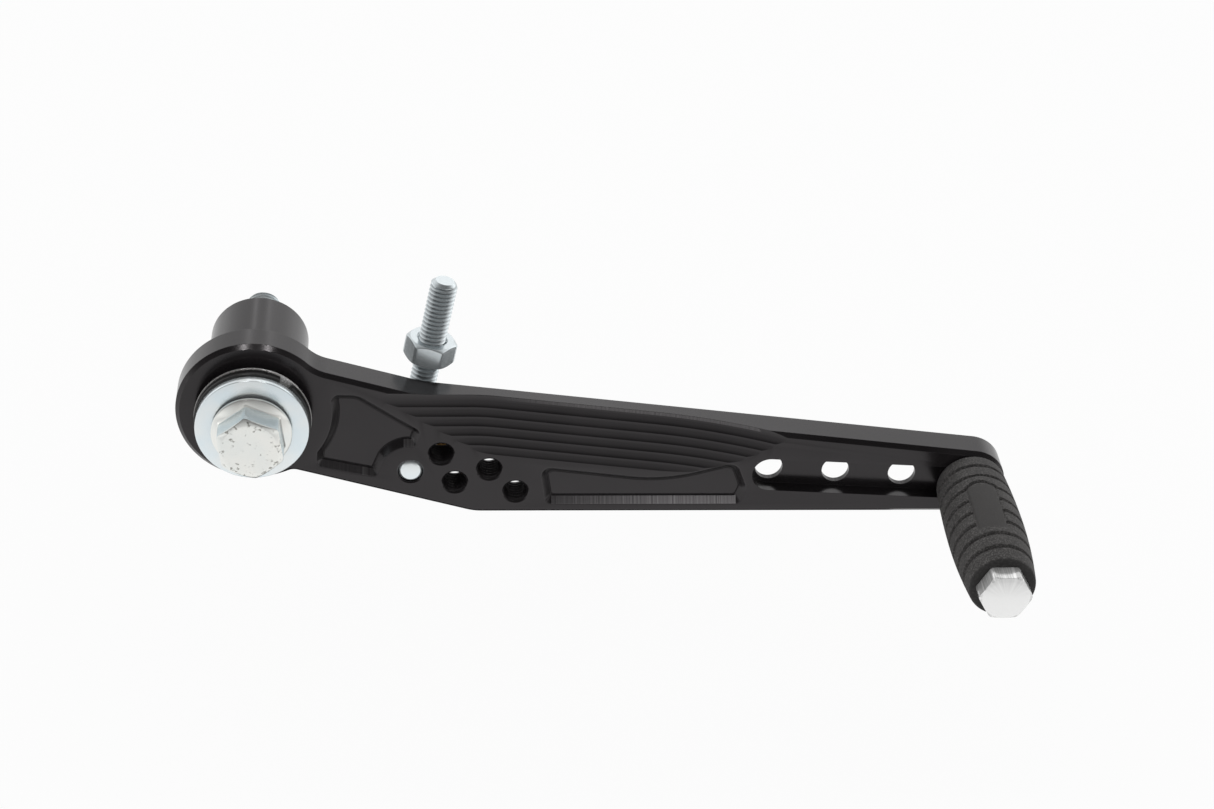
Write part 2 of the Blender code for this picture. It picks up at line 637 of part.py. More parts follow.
def peg_pieces(group, tools, mats):
    seat = ARM_FRONT - SEAT_GAP
    tip = seat - PEG_LENGTH
    core = hexagon("peg_core", PEG_HEX, PEG_LENGTH, group, at=(END_X, (seat + tip) / 2.0, PEG_Z), spin=FLAT_UP)
    corner = PEG_HEX / math.sqrt(3.0) + HEX_TURN_INSET
    spigot = SLOT_WIDTH / 2.0 - FIT_GAP
    outside = [(0.0, seat + CUT_OVER), (corner, seat + CUT_OVER), (corner, tip + PEG_TIP_TAPER + PEG_DOME)]
    rings = 3
    for i in range(rings + 1):
        share = 1.0 - i / rings
        outside.append((PEG_TIP_RADIUS * share, tip + PEG_DOME * share ** 2))
    cone = turned("peg_turn_form", outside, tools, closed=False, at=(END_X, 0.0, PEG_Z))
    combine(core, hide(cone), "INTERSECT")
    foot = drill("peg_spigot_form", spigot, seat - CUT_OVER, SLOT_FLOOR - SEAT_GAP, END_X, PEG_Z, tools, ROUND)
    combine(core, foot, "UNION")
    thread = drill("peg_thread_form", TAP_RADIUS, SLOT_FLOOR - PEG_THREAD_DEPTH, SLOT_FLOOR + CUT_OVER,
                   END_X, PEG_Z, tools, SMALL)
    combine(core, thread)

    back = seat - SEAT_GAP
    front = back - RUBBER_LENGTH
    middle = (front + back) / 2.0
    count = 12
    skin = []
    for i in range(count + 1):
        reach = (RUBBER_LENGTH / 2.0) * (1.0 - 2.0 * i / count)
        skin.append((rubber_radius(reach), middle + reach))
    skin[0] = (skin[0][0], back - RUBBER_EDGE)
    skin[-1] = (skin[-1][0], front + RUBBER_EDGE)
    skin = [(0.0, back), (skin[0][0] - RUBBER_EDGE, back)] + skin
    skin += [(skin[-1][0] - RUBBER_EDGE, front), (0.0, front)]
    rubber = turned("peg_rubber", skin, group, closed=False, at=(END_X, 0.0, PEG_Z))
    hole = hexagon("rubber_hole_form", PEG_HEX + 2.0 * FIT_GAP, RUBBER_LENGTH + 2.0 * CUT_OVER, tools,
                   at=(END_X, middle, PEG_Z), spin=FLAT_UP)
    combine(rubber, hide(hole))
    band = RUBBER_LENGTH / (GROOVES + 1)
    panel = panel_form(back - band * (PANEL_FIRST + 0.5), back - band * (PANEL_LAST + 1.5), tools)
    for i in range(GROOVES):
        at = back - band * (i + 1)
        base = rubber_radius(at - middle)
        groove = turned("groove_form_%d" % (i + 1), ring_profile(
            base + CUT_OVER, base - GROOVE_DEPTH, at - GROOVE_WIDTH / 2.0, at + GROOVE_WIDTH / 2.0),
            tools, at=(END_X, 0.0, PEG_Z))
        if PANEL_FIRST <= i <= PANEL_LAST:
            combine(groove, panel)
        combine(rubber, hide(groove))

    head = WEB_BACK + SEAT_GAP
    button = [(0.0, head + PEG_SCREW_HEAD)]
    rings = 3
    for i in range(rings + 1):
        a = PEG_SCREW_DOME * (1.0 - i / rings)
        button.append((PEG_SCREW_HEAD_RADIUS * math.cos(a),
                       head + PEG_SCREW_HEAD * math.sin(a) / math.sin(PEG_SCREW_DOME)))
    screw = turned("peg_screw", button + [
        (PEG_SCREW_RADIUS, head),
        (PEG_SCREW_RADIUS, head - PEG_SCREW_LENGTH + SCREW_POINT),
        (PEG_SCREW_RADIUS - SCREW_POINT, head - PEG_SCREW_LENGTH),
        (0.0, head - PEG_SCREW_LENGTH),
    ], group, closed=False, steps=SMALL, at=(END_X, 0.0, PEG_Z))
    key = hexagon("peg_key_form", PEG_SCREW_KEY, PEG_SCREW_KEY_DEPTH * 2.0, tools,
                  at=(END_X, head + PEG_SCREW_HEAD, PEG_Z))
    combine(screw, hide(key))
    smooth(core)
    core.data.materials.append(mats["alloy"])
    rubber.data.materials.append(mats["rubber"])
    screw.data.materials.append(mats["zinc"])


def panel_form(back, front, tools):
    """Sector over the top of the rubber that the middle grooves stop at."""
    reach = RUBBER_MID_RADIUS * 2.0
    side = math.tan(PANEL_HALF_ANGLE) * reach
    outline = [(END_X, PEG_Z), (END_X - side, PEG_Z + reach), (END_X + side, PEG_Z + reach)]
    return hide(plate("panel_form", outline, front, back, tools))


def rod_end_pieces(group, tools, mats):
    pivot = bpy.data.objects.new("rod_end_pivot", None)
    group.objects.link(pivot)
    pivot.location = (ROD_X, BALL_Y, ROD_Z)
    pivot.rotation_euler = (0.0, ROD_LEAN, 0.0)
    count = 8
    half = math.asin(BALL_WIDTH / 2.0 / BALL_RADIUS)
    ball_skin = []
    for i in range(count + 1):
        a = half * (1.0 - 2.0 * i / count)
        ball_skin.append((BALL_RADIUS * math.cos(a), BALL_Y + BALL_RADIUS * math.sin(a)))
    ball = turned("rod_end_ball", ball_skin + [
        (BALL_BORE_RADIUS, BALL_FRONT),
        (BALL_BORE_RADIUS, BALL_FRONT + BALL_WIDTH),
    ], group, at=(ROD_X, 0.0, ROD_Z), steps=SMALL)
    spacer = turned("rod_end_spacer", ring_profile(SPACER_RADIUS, BALL_BORE_RADIUS, SPACER_FRONT,
                                                   SPACER_FRONT + SPACER_THICKNESS),
                    group, at=(ROD_X, 0.0, ROD_Z), steps=SMALL)

    seat = BALL_RADIUS + FIT_GAP
    race_radius = seat + RACE_WALL
    half = math.asin(RACE_WIDTH / 2.0 / seat)
    race_skin = [(race_radius, RACE_WIDTH / 2.0), (race_radius, -RACE_WIDTH / 2.0)]
    for i in range(count + 1):
        a = half * (2.0 * i / count - 1.0)
        race_skin.append((seat * math.cos(a), seat * math.sin(a)))
    race = turned("rod_end_race", race_skin, group, parent=pivot, steps=SMALL)

    wide = HOUSING_WIDTH / 2.0
    body = turned("rod_end_body", [
        (0.0, wide),
        (HOUSING_RADIUS - HOUSING_EDGE, wide),
        (HOUSING_RADIUS, wide - HOUSING_EDGE),
        (HOUSING_RADIUS, HOUSING_EDGE - wide),
        (HOUSING_RADIUS - HOUSING_EDGE, -wide),
        (0.0, -wide),
    ], group, closed=False, parent=pivot)
    shank = turned("rod_shank_form", [
        (0.0, ROD_LENGTH),
        (ROD_RADIUS - ROD_POINT, ROD_LENGTH),
        (ROD_RADIUS, ROD_LENGTH - ROD_POINT),
        (ROD_RADIUS, ROD_NECK_END),
        (ROD_NECK_RADIUS, ROD_NECK_END - ROD_NECK_SLOPE),
        (ROD_NECK_RADIUS, HOUSING_RADIUS / 2.0),
        (0.0, HOUSING_RADIUS / 2.0),
    ], tools, closed=False, turn=(0.0, 0.0, 0.0), parent=pivot, steps=SMALL)
    combine(body, hide(shank), "UNION")
    mesh = bpy.data.meshes.new("race_bore_form")
    shape = bmesh.new()
    bore = race_radius + FIT_GAP
    bmesh.ops.create_cone(shape, cap_ends=True, segments=ROUND, radius1=bore, radius2=bore,
                          depth=HOUSING_WIDTH + 2.0 * CUT_OVER)
    shape.to_mesh(mesh)
    shape.free()
    combine(body, hide(place("race_bore_form", mesh, tools, ALONG_PIVOT, parent=pivot)))

    nut = hexagon("lock_nut", NUT_HEX, NUT_HEIGHT, group, turn=(0.0, 0.0, 0.0), at=(0.0, 0.0, NUT_CENTRE),
                  parent=pivot, spin=FLAT_UP + NUT_TURN)
    flat, corner, drop = hex_turning(NUT_HEX)
    top = NUT_HEIGHT / 2.0
    cone = turned("nut_cone_form", [
        (flat, top),
        (corner, top - drop),
        (corner, drop - top),
        (flat, -top),
        (ROD_RADIUS + THREAD_GAP, -top),
        (ROD_RADIUS + THREAD_GAP, top),
    ], tools, turn=(0.0, 0.0, 0.0), at=(0.0, 0.0, NUT_CENTRE), parent=pivot)
    combine(nut, hide(cone), "INTERSECT")

    head = BALL_FRONT + BALL_WIDTH + SEAT_GAP
    radius = TAP_RADIUS - THREAD_GAP
    screw = turned("rod_end_screw", [
        (0.0, head + SCREW_HEAD / 2.0),
        (radius, head + SCREW_HEAD / 2.0),
        (radius, ARM_FRONT + SCREW_POINT),
        (radius - SCREW_POINT, ARM_FRONT),
        (0.0, ARM_FRONT),
    ], group, closed=False, steps=SMALL, at=(ROD_X, 0.0, ROD_Z))
    bar = hexagon("screw_head_form", SCREW_HEX, SCREW_HEAD, tools, at=(ROD_X, head + SCREW_HEAD / 2.0, ROD_Z))
    combine(screw, hide(bar), "UNION")
    smooth(nut)
    for obj, key in ((ball, "steel"), (spacer, "zinc"), (race, "bronze"), (body, "zinc"), (nut, "zinc"),
                     (screw, "zinc")):
        obj.data.materials.append(mats[key])


def main():
    clear_scene()
    group = collection("gear_shift_lever")
    tools = collection("cutters")
    mats = {
        "arm": material("black_anodised", (0.045, 0.043, 0.044), 0.6, 0.35),
        "zinc": material("zinc_plate", (0.70, 0.74, 0.76), 1.0, 0.32),
        "steel": material("bright_steel", (0.62, 0.62, 0.60), 1.0, 0.25),
        "black": material("black_spring", (0.02, 0.02, 0.02), 0.4, 0.4),
        "polymer": material("dark_polymer", (0.03, 0.03, 0.03), 0.0, 0.5),
        "alloy": material("turned_alloy", (0.80, 0.80, 0.79), 1.0, 0.3),
        "rubber": material("peg_rubber", (0.07, 0.068, 0.066), 0.0, 0.7),
        "bronze": material("race_bronze", (0.55, 0.33, 0.12), 1.0, 0.35),
    }
    lever_arm(group, tools, mats["arm"])
    pivot_pieces(group, tools, mats)
    peg_pieces(group, tools, mats)
    rod_end_pieces(group, tools, mats)


main()
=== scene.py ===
"""Looks of a gear shift lever: fine turned and threaded pieces, finishes, light and camera.

Lengths are metres in the frame of the solids: +X along the arm to the peg, +Y along the pivot axis
towards the machine, +Z up, with the origin on the pivot axis.
"""
import json
import math

import bmesh
import bpy
import numpy as np
from mathutils import Matrix, Vector


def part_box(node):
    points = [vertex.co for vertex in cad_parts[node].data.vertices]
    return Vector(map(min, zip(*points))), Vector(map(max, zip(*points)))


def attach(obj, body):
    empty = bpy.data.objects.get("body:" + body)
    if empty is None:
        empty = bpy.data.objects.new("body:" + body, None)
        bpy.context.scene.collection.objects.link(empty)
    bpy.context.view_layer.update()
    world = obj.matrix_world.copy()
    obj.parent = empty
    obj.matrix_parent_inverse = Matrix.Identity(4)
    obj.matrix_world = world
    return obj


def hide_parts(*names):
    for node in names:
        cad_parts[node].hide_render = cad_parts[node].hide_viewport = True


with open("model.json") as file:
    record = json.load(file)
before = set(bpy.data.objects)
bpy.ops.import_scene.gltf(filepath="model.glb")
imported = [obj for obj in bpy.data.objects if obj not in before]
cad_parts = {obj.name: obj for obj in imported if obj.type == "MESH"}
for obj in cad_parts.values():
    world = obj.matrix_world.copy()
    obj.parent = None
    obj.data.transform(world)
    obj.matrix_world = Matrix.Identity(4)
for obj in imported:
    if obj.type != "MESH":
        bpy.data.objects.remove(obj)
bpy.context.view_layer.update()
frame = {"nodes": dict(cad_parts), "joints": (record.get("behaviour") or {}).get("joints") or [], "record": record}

MM = 0.001

# Camera: where the photograph was taken from
PHOTO_WIDTH = 1214
FOCAL_PIXELS = 2756.8
SENSOR = 36.0
CLIP_START = 0.01
CAMERA_PLACE = (0.03319, -0.53567, 0.30789)
CAMERA_AZIMUTH = math.radians(-4.78)
CAMERA_ELEVATION = math.radians(31.229)
CAMERA_ROLL = math.radians(2.535)

# Studio. What mirrors see: (cosine towards the dark above the camera, level), (x over y, level) in bands
# behind the object, and (y, level) on the floor
FLOOR_DROP = 75.0 * MM
FLOOR_REACH = 4.0
FLOOR_SHARE = 0.88
SKY_LEVEL = 0.9
DARK_TOWARDS = (0.0, -0.53, 0.848)
MIRROR_LEVELS = ((-0.2, 1.0), (0.0, 0.93), (0.342, 0.74), (0.643, 0.58), (0.80, 0.49), (0.90, 0.36),
                 (0.96, 0.20), (0.985, 0.12), (1.0, 0.02))
BACK_BANDS = ((-1.0, 0.44), (-0.40, 0.44), (-0.22, 0.47), (-0.16, 0.54), (-0.11, 1.0), (-0.06, 0.54),
              (0.08, 0.50), (0.15, 0.56), (0.20, 0.95), (0.25, 0.60), (0.35, 0.56), (0.46, 0.48),
              (0.6, 0.44), (1.0, 0.44))
BACK_GAIN = 2.0
BACK_FROM = (0.2, 0.5)
LEAST_AHEAD = 0.05
SIDE_GAIN = 0.8
SIDE_FROM = (0.45, 0.85)
FLOOR_GREY = 0.92
FLOOR_NEAR = (-0.10, 0.93)
FLOOR_FAR = (-0.45, 0.55)
# Dark card under the arm, seen only by mirrors: a painted shadow of the object on the floor
CARD_REACH = 0.5
CARD_PLACE = (0.065, 0.0025, 0.5 * MM - FLOOR_DROP)
CARD_SCALE = (0.17, 0.065, 1.0)
CARD_GREY = 0.05
LAMP_REACH = 0.2
LAMP_SIZE = 0.008
LAMP_SPREAD = math.radians(6.0)
LAMPS = (("lamp_left", (-0.20, -0.53, 0.84)), ("lamp_right", (0.26, -0.53, 0.84)))
LAMP_POWER = 0.00004

# Faint warmth of the black anodised gloss
ANODISED_TINT = (1.0, 0.955, 0.975, 1.0)

# Cutter marks lightened as painted highlights on the lip, the ledge and the blade pocket's lower wall, and two
# painted glints, as ranges of x, of height and of depth behind the front. Heights are from the blade's top edge
# for the lip, from the neck pocket's lower edge for the ledge, else plain z.
HIGHLIGHT_DEPTH = (0.05 * MM, 1.4 * MM)
WALL_X = (64.0 * MM, 104.5 * MM)
WALL_Z = (-23.3 * MM, -21.7 * MM)
WALL_FADE = (64.0 * MM, 90.0 * MM, 0.3, 1.0)
LIP_X = (50.0 * MM, 112.0 * MM)
LIP_HEIGHT = (-0.95 * MM, -0.02 * MM)
LIP_DEPTH = (1.5 * MM, 4.6 * MM)
LIP_FADE = (51.0 * MM, 70.0 * MM, 0.0, 0.75)
LEDGE_X = (13.5 * MM, 25.6 * MM)
LEDGE_HEIGHT = (-0.1 * MM, 1.3 * MM)
# Two painted glints in the neck pocket, as (x, z) ranges
PAINTED_GLINTS = (((22.9 * MM, 23.8 * MM), (-16.6 * MM, -14.0 * MM)),
         ((31.8 * MM, 34.1 * MM), (-9.0 * MM, -6.9 * MM)))

# Where the zinc changes, painted shade on the hex flats included: half widths about the bolt's axis, and a box
# round the rod end's shank
CREAM_REACH = 9.2 * MM
FLATS_REACH = 7.6 * MM
FACE_REACH = 9.0 * MM
FACE_DEPTH = 0.5 * MM
WORN_RIM = (3.6 * MM, 5.9 * MM)
SHANK_LOW = (27.0 * MM, -26.0 * MM, -6.0 * MM)
SHANK_HIGH = (52.0 * MM, -11.0 * MM, 30.0 * MM)
TIP_CLEAR = 0.9 * MM

# Painted highlight on what shows of the thrust washer through the split ring's gap
GAP_LOW = (3.5 * MM, -1.0, 5.5 * MM)
GAP_HIGH = (9.8 * MM, 1.0, 12.5 * MM)

# Facets round a turned piece, the angles from which an edge stays sharp, and what is welded or too thin
STEPS = 96
SHARP = math.radians(28.0)
ARM_SHARP = math.radians(24.0)
RUBBER_SHARP = math.radians(50.0)
EDGE_STEP = math.radians(30.0)
WELD = 0.0005 * MM
SLIVER = 0.0002 * MM

# Threads: rows per turn, and how steep and how flat-topped the ridge is
THREAD_ROWS = 8
THREAD_STEEP = 2.6
THREAD_CREST = 0.15

# Arm, cut from one plate: eye, neck, blade and rounded end
ARM_THICKNESS = 8.0 * MM
ARM_CHAMFER = 0.9 * MM
EYE_RADIUS = 16.5 * MM
NECK_ANGLE = math.radians(15.7)
NECK_ABOVE = 13.3 * MM
NECK_BELOW = 11.8 * MM
NECK_TOP_FILLET = 9.5 * MM
NECK_LOW_FILLET = 3.0 * MM
KNEE_TOP_RADIUS = 30.0 * MM
KNEE_LOW_RADIUS = 12.0 * MM
BLADE_TAPER = math.radians(6.55)
END_X = 155.9 * MM
END_Z = -17.8 * MM
END_RADIUS = 7.7 * MM
HUB_RADIUS = 10.7 * MM
HUB_BORE = 8.3 * MM
HUB_EDGE = 0.4 * MM
HUB_STEPS = 128
EYE_STEPS = 80
TOP_FILLET_STEPS = 14
LOW_FILLET_STEPS = 6
END_STEPS = 44
CORNER_STEPS = 8
LEAST_STRETCH = 0.3

# Pockets: arcs as (start, stop, steps), and corners with radii as (x, z, r) in millimetres
POCKET_DEPTH = 1.5 * MM
POCKET_SLOPE = 1.35 * MM
POCKET_RIM_RADIUS = 0.5 * MM
POCKET_RIM_BENDS = (0.3, 1.0, 4)
POCKET_LINE_DEPTH = 0.16 * MM
POCKET_LINE_WIDTH = 0.42 * MM
POCKET_EYE_RADIUS = 16.5 * MM
POCKET_EYE_ANGLES = (math.radians(-37.0), math.radians(10.0), 16)
POCKET_HOLE_RADIUS = 6.3 * MM
POCKET_HOLE_ANGLES = (math.radians(97.0), math.radians(150.0), 20)
NECK_POCKET_TOP = ((17.1, 4.6, 2.0), (22.2, 4.45, 5.0), (35.6, -4.6, 1.7), (34.4, -8.7, 1.45))
NECK_POCKET_LOW = ((26.0, -16.3, 1.5), (12.9, -13.4, 1.5))
BLADE_POCKET = ((61.0, -13.5, 2.2), (88.2, -16.9, 38.0), (104.2, -12.4, 2.6), (106.8, -19.3, 3.0),
                (105.3, -23.2, 1.6), (62.6, -23.2, 1.6))

# Stepped scoop
FLUTES = 6
FLUTE_RADIUS = 2.6 * MM
FLUTE_PITCH = 1.95 * MM
FLUTE_FIRST = 0.6 * MM
FLUTE_STEP = 0.72 * MM
FLUTE_LEFT = 49.0 * MM
FLUTE_RAMP = 0.19
FLUTE_BLEND = 3.0 * MM
FLUTE_RIGHT = 86.0 * MM
FLUTE_ARC = 100.0 * MM
FLUTE_TOP_INSET = 1.03 * MM
FLUTE_BLEND_ROWS = 9
FLUTE_ARC_ROWS = 27
FLUTE_STEPS = 64

# Peg slots and holes, and what all the cutters share
PEG_HOLES = 4
PEG_PITCH = 14.78 * MM
SLOT_ANGLE = math.radians(3.0)
SLOT_WIDTH = 8.0 * MM
SLOT_DEPTH = 3.3 * MM
BACK_SLOT_WIDTH = 11.0 * MM
PEG_HOLE_RADIUS = 3.0 * MM
PEG_HOLE_STEPS = 64
SLOT_STEPS = 24
CUT_OVER = 2.0 * MM
LEAST_RADIUS = 0.03 * MM
CORNER_SHRINK = 0.6

# Bolt head, flange and thread
BOLT_HEX = 13.0 * MM
BOLT_HEAD = 8.0 * MM
BOLT_CORNER = math.radians(270.0 - 7.5)
BOLT_RADIUS = 3.95 * MM
BOLT_PITCH = 1.25 * MM
BOLT_POINT_RADIUS = 3.1 * MM
BOLT_THREAD_START = -12.0 * MM
BOLT_THREAD_DEPTH = 0.7 * MM
BOLT_THREAD_FADE = 1.5 * MM
BOLT_CROWN_INSET = 0.45 * MM
BOLT_EDGE = 0.1 * MM
BOLT_RIM_RISE = 0.03 * MM
BOLT_FILLET = 0.2 * MM
FLANGE_RADIUS = 8.5 * MM
FLANGE_RIM = 1.5 * MM
FLANGE_GAP = 0.75 * MM
FLANGE_GAP_DEPTH = 1.3 * MM
FLANGE_GAP_TAPER = 0.7
FLANGE_SLOPE = 0.9 * MM
FLANGE_FILLET = 0.25 * MM
FLANGE_LIP = 0.15 * MM
FLATS_START = 0.85 * MM
FLATS_DEPTH = BOLT_HEAD - FLANGE_RIM - FLANGE_SLOPE - 0.1 * MM
HEAD_ANGLE = math.radians(30.0)
BOLT_CROWN_ANGLE = math.radians(33.0)
HEX_ROUND = 0.12 * MM
HEX_EDGE = 0.08 * MM
HEX_EDGE_RISE = 0.02 * MM

# Washers, sleeve and bushes
BOLT_BORE = 4.2 * MM
SLEEVE_BORE = 6.15 * MM
WASHER_EDGE = 0.25 * MM
THRUST_EDGE = 0.12 * MM
SLEEVE_EDGE = 0.3 * MM
BUSH_RADIUS = 8.15 * MM
BUSH_FLANGE_RADIUS = 10.3 * MM
BUSH_FLANGE = 1.6 * MM
BUSH_EDGE = 0.2 * MM

# Split ring
RING_WIDTH = 3.2 * MM
RING_EDGE = 0.25 * MM
RING_SPLIT = 2.7 * MM
RING_SPLIT_ANGLE = math.radians(37.0)

# Tapped linkage holes: the spare ones as steps (x, z) from the rod end's own
TAP_PITCH = 1.0 * MM
TAP_RADIUS = 2.7 * MM
TAP_DEPTH = 0.28 * MM
TAP_CHAMFER = 0.28 * MM
TAP_START = 0.7 * TAP_CHAMFER
TAP_FADE = 0.6 * MM
TAP_INSET = 0.05 * MM
TAP_WALL = 0.02 * MM
TAP_STEPS = 48
SPARE_HOLES = ((6.6, 4.5), (9.6, -2.7), (17.0, 0.6), (22.8, -5.1))

# Rod end
ROD_LEAN = math.radians(10.6)
ROD_RADIUS = 2.95 * MM
ROD_THREAD_DEPTH = 0.55 * MM
ROD_THREAD_START = 14.0 * MM
ROD_THREAD_FADE = 1.0 * MM
ROD_POINT_RADIUS = 2.05 * MM
HOUSING_RADIUS = 10.2 * MM
HOUSING_WIDTH = 6.8 * MM
HOUSING_EDGE = 0.5 * MM
RACE_RADIUS = 8.3 * MM
RACE_WIDTH = 6.4 * MM
BALL_RADIUS = 6.35 * MM
BALL_WIDTH = 9.0 * MM
BALL_BORE = 3.05 * MM
BALL_STEPS = 72
RACE_ROWS = 16
BALL_ROWS = 24
SPACER_EDGE = 0.2 * MM
FIT_GAP = 0.15 * MM
NUT_HEX = 10.0 * MM
NUT_TURN = math.radians(-7.0)
NUT_CROWN_INSET = 0.2 * MM
NUT_GAP = 0.05 * MM
NUT_CHAMFER = 0.4 * MM
ROD_SCREW_HEAD = 4.0 * MM
ROD_SCREW_CROWN_INSET = 0.25 * MM
ROD_SCREW_FACE = 0.3

# Turned forms in millimetres: (share of the crown, depth) on the bolt's face, (radius, distance from the
# ball's centre) up the rod's neck, and (radius, distance from the tip) down to a screw's point
BOLT_FACE = ((0.2, 0.048), (0.6, 0.024), (0.9, 0.006), (0.985, 0.01))
ROD_NECK = ((3.3, 8.9), (3.35, 10.2), (3.9, 10.8), (3.9, 12.5), (3.05, 13.7))
ROD_SCREW_POINT = ((2.6, 0.75), (2.52, 0.55), (2.0, 0.06), (1.85, 0.0))
PEG_SCREW_POINT = ((2.6, 0.7), (1.9, 0.0))
SCREW_RADIUS = 2.6 * MM

# Peg
PEG_HEX = 10.0 * MM
PEG_TIP_RADIUS = 4.7 * MM
PEG_TIP_TAPER = 0.6 * MM
PEG_DOME = 0.5 * MM
PEG_TIP_EDGE = 0.05 * MM
PEG_TIP_EDGE_RISE = 0.04 * MM
PEG_RIM_RISE = 0.06 * MM
PEG_TIP_ROWS = (0.1, 0.25, 0.4, 0.55, 0.7, 0.85, 0.96)
PEG_FOOT_RADIUS = 3.85 * MM
PEG_FOOT_GAP = 0.2 * MM
RUBBER_FRONT_RADIUS = 7.0 * MM
RUBBER_BACK_RADIUS = 7.5 * MM
RUBBER_MID_RADIUS = 8.25 * MM
RUBBER_EDGE = 0.7 * MM
RUBBER_STEPS = 240
RUBBER_HOLE_EDGE = 0.15 * MM
RUBBER_FRONT_EDGE = 0.05 * MM
HUG_GAP = 0.04 * MM
GROOVES = 8
GROOVE_WIDTH = 1.0 * MM
GROOVE_DEPTH = 1.1 * MM
GROOVE_HALF = 0.62
GROOVE_FLANK = 0.3
GROOVE_POWER = 0.8
GROOVE_ROWS = (-1.0, -0.62, -0.5, -0.4, -0.28, 0.0, 0.28, 0.4, 0.5, 0.62, 1.0)
BAND_ROWS = (0.4, 0.5, 0.6)
ARCH_GROOVE = 2
ARCH_RISE = 1.9 * MM
ARCH_SPREAD = 1.2
ARCH_REACH = 0.95
ARCH_GAIN = 1.6
PANEL_GROOVES = (3, 4, 5)
PANEL_TURN = math.radians(-6.0)
PANEL_HALF_ANGLE = math.radians(23.0)
PANEL_BLEND = math.radians(2.5)
PANEL_LINE = math.radians(1.9)
PANEL_LINE_DEPTH = 0.3 * MM
PANEL_END = 0.55
PANEL_BANDS = ((6.6, 6.4), (3.0, 2.8))
PANEL_END_BLEND = 0.2
KEY_HEX = 4.0 * MM
KEY_DEPTH = 1.7 * MM
KEY_EDGE = 0.15 * MM
KEY_FLOOR = 0.5
BUTTON_HEIGHT = 2.9 * MM
BUTTON_DOME = math.radians(55.0)
BUTTON_ROWS = 8

NECK_NORMAL = (math.sin(NECK_ANGLE), math.cos(NECK_ANGLE))
BLADE_NORMAL = (math.sin(BLADE_TAPER), math.cos(BLADE_TAPER))
BLADE_OFFSET = END_X * BLADE_NORMAL[0] + END_Z * BLADE_NORMAL[1] + END_RADIUS


def named(rows, name):
    return next(row for row in rows if row["name"] == name)


SWIVEL = tuple(named(frame["joints"], "rod_end_swivel")["pos_m"])
ROD_TIP_Z = named(frame["record"]["mounts"], "rod_tip")["pos_m"][2]


def centre_of(node):
    """Where a node's axis along Y crosses the XZ plane."""
    low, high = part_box(node)
    return (low.x + high.x) / 2.0, (low.z + high.z) / 2.0


class Net:
    """Builds a node tree: values may be numbers, colours or other nodes' sockets."""

    def __init__(self, tree):
        self.tree = tree

    def node(self, kind, values=None, **settings):
        made = self.tree.nodes.new(kind)
        for key, value in settings.items():
            setattr(made, key, value)
        for key, value in (values or {}).items():
            if isinstance(value, bpy.types.NodeSocket):
                self.tree.links.new(value, made.inputs[key])
            else:
                made.inputs[key].default_value = value
        return made

    def coords(self):
        return self.node("ShaderNodeTexCoord").outputs["Object"]

    def split(self, vector):
        return self.node("ShaderNodeSeparateXYZ", {"Vector": vector}).outputs

    def join(self, x, y=0.0, z=0.0):
        return self.node("ShaderNodeCombineXYZ", {"X": x, "Y": y, "Z": z}).outputs[0]

    def stretched(self, coords, scale):
        return self.node("ShaderNodeMapping", {"Vector": coords, "Scale": scale}).outputs["Vector"]

    def noise(self, coords, scale, detail=2.0, rough=0.5):
        values = {"Vector": coords, "Scale": scale, "Detail": detail, "Roughness": rough}
        return self.node("ShaderNodeTexNoise", values).outputs["Fac"]

    def span(self, value, low, high, to_low, to_high):
        values = {"Value": value, "From Min": low, "From Max": high, "To Min": to_low, "To Max": to_high}
        return self.node("ShaderNodeMapRange", values, clamp=True).outputs["Result"]

    def math(self, operation, first, second=0.0):
        return self.node("ShaderNodeMath", {0: first, 1: second}, operation=operation).outputs[0]

    def times(self, *factors):
        product = factors[0]
        for factor in factors[1:]:
            product = self.math("MULTIPLY", product, factor)
        return product

    def vector(self, operation, *vectors):
        """Vector maths, which gives a number for a dot product or a length."""
        made = self.node("ShaderNodeVectorMath", dict(enumerate(vectors)), operation=operation)
        return made.outputs["Value" if operation in ("DOT_PRODUCT", "LENGTH") else "Vector"]

    def mix(self, factor, first, second):
        return self.node("ShaderNodeMix", {0: factor, 2: first, 3: second}).outputs[0]

    def blend(self, factor, first, second):
        """Between two colours, each a tuple or a socket."""
        values = {0: factor, 6: (*first, 1.0) if isinstance(first, tuple) else first,
                  7: (*second, 1.0) if isinstance(second, tuple) else second}
        return self.node("ShaderNodeMix", values, data_type="RGBA").outputs[2]

    def shade(self, value, low, high, first, second):
        """From one colour to another as a value goes from low to high."""
        return self.blend(self.span(value, low, high, 0.0, 1.0), first, second)

    def bump(self, height, strength, distance, normal=None):
        values = {"Height": height, "Strength": strength, "Distance": distance}
        if normal is not None:
            values["Normal"] = normal
        return self.node("ShaderNodeBump", values).outputs["Normal"]

    def ramp(self, value, stops):
        """Grey level along a value, straight between (value, level) stops."""
        low = stops[0][0]
        high = stops[-1][0]
        made = self.node("ShaderNodeValToRGB", {"Fac": self.span(value, low, high, 0.0, 1.0)})
        elements = made.color_ramp.elements
        while len(elements) < len(stops):
            elements.new(0.5)
        for element, (at, grey) in zip(elements, stops):
            element.position = (at - low) / (high - low)
            element.color = (grey, grey, grey, 1.0)
        return made.outputs["Color"]

    def box(self, coords, low, high):
        """One inside a box of coordinates, zero outside."""
        sides = []
        for place, least, most in zip(self.split(coords), low, high):
            sides += [self.math("GREATER_THAN", place, least), self.math("LESS_THAN", place, most)]
        return self.times(*sides)

    def leaning(self, coords, normal):
        """Coordinates whose Z is the height along a unit normal (x, z)."""
        x, y, _ = self.split(coords)
        return self.join(x, y, self.vector("DOT_PRODUCT", coords, (normal[0], 0.0, normal[1])))


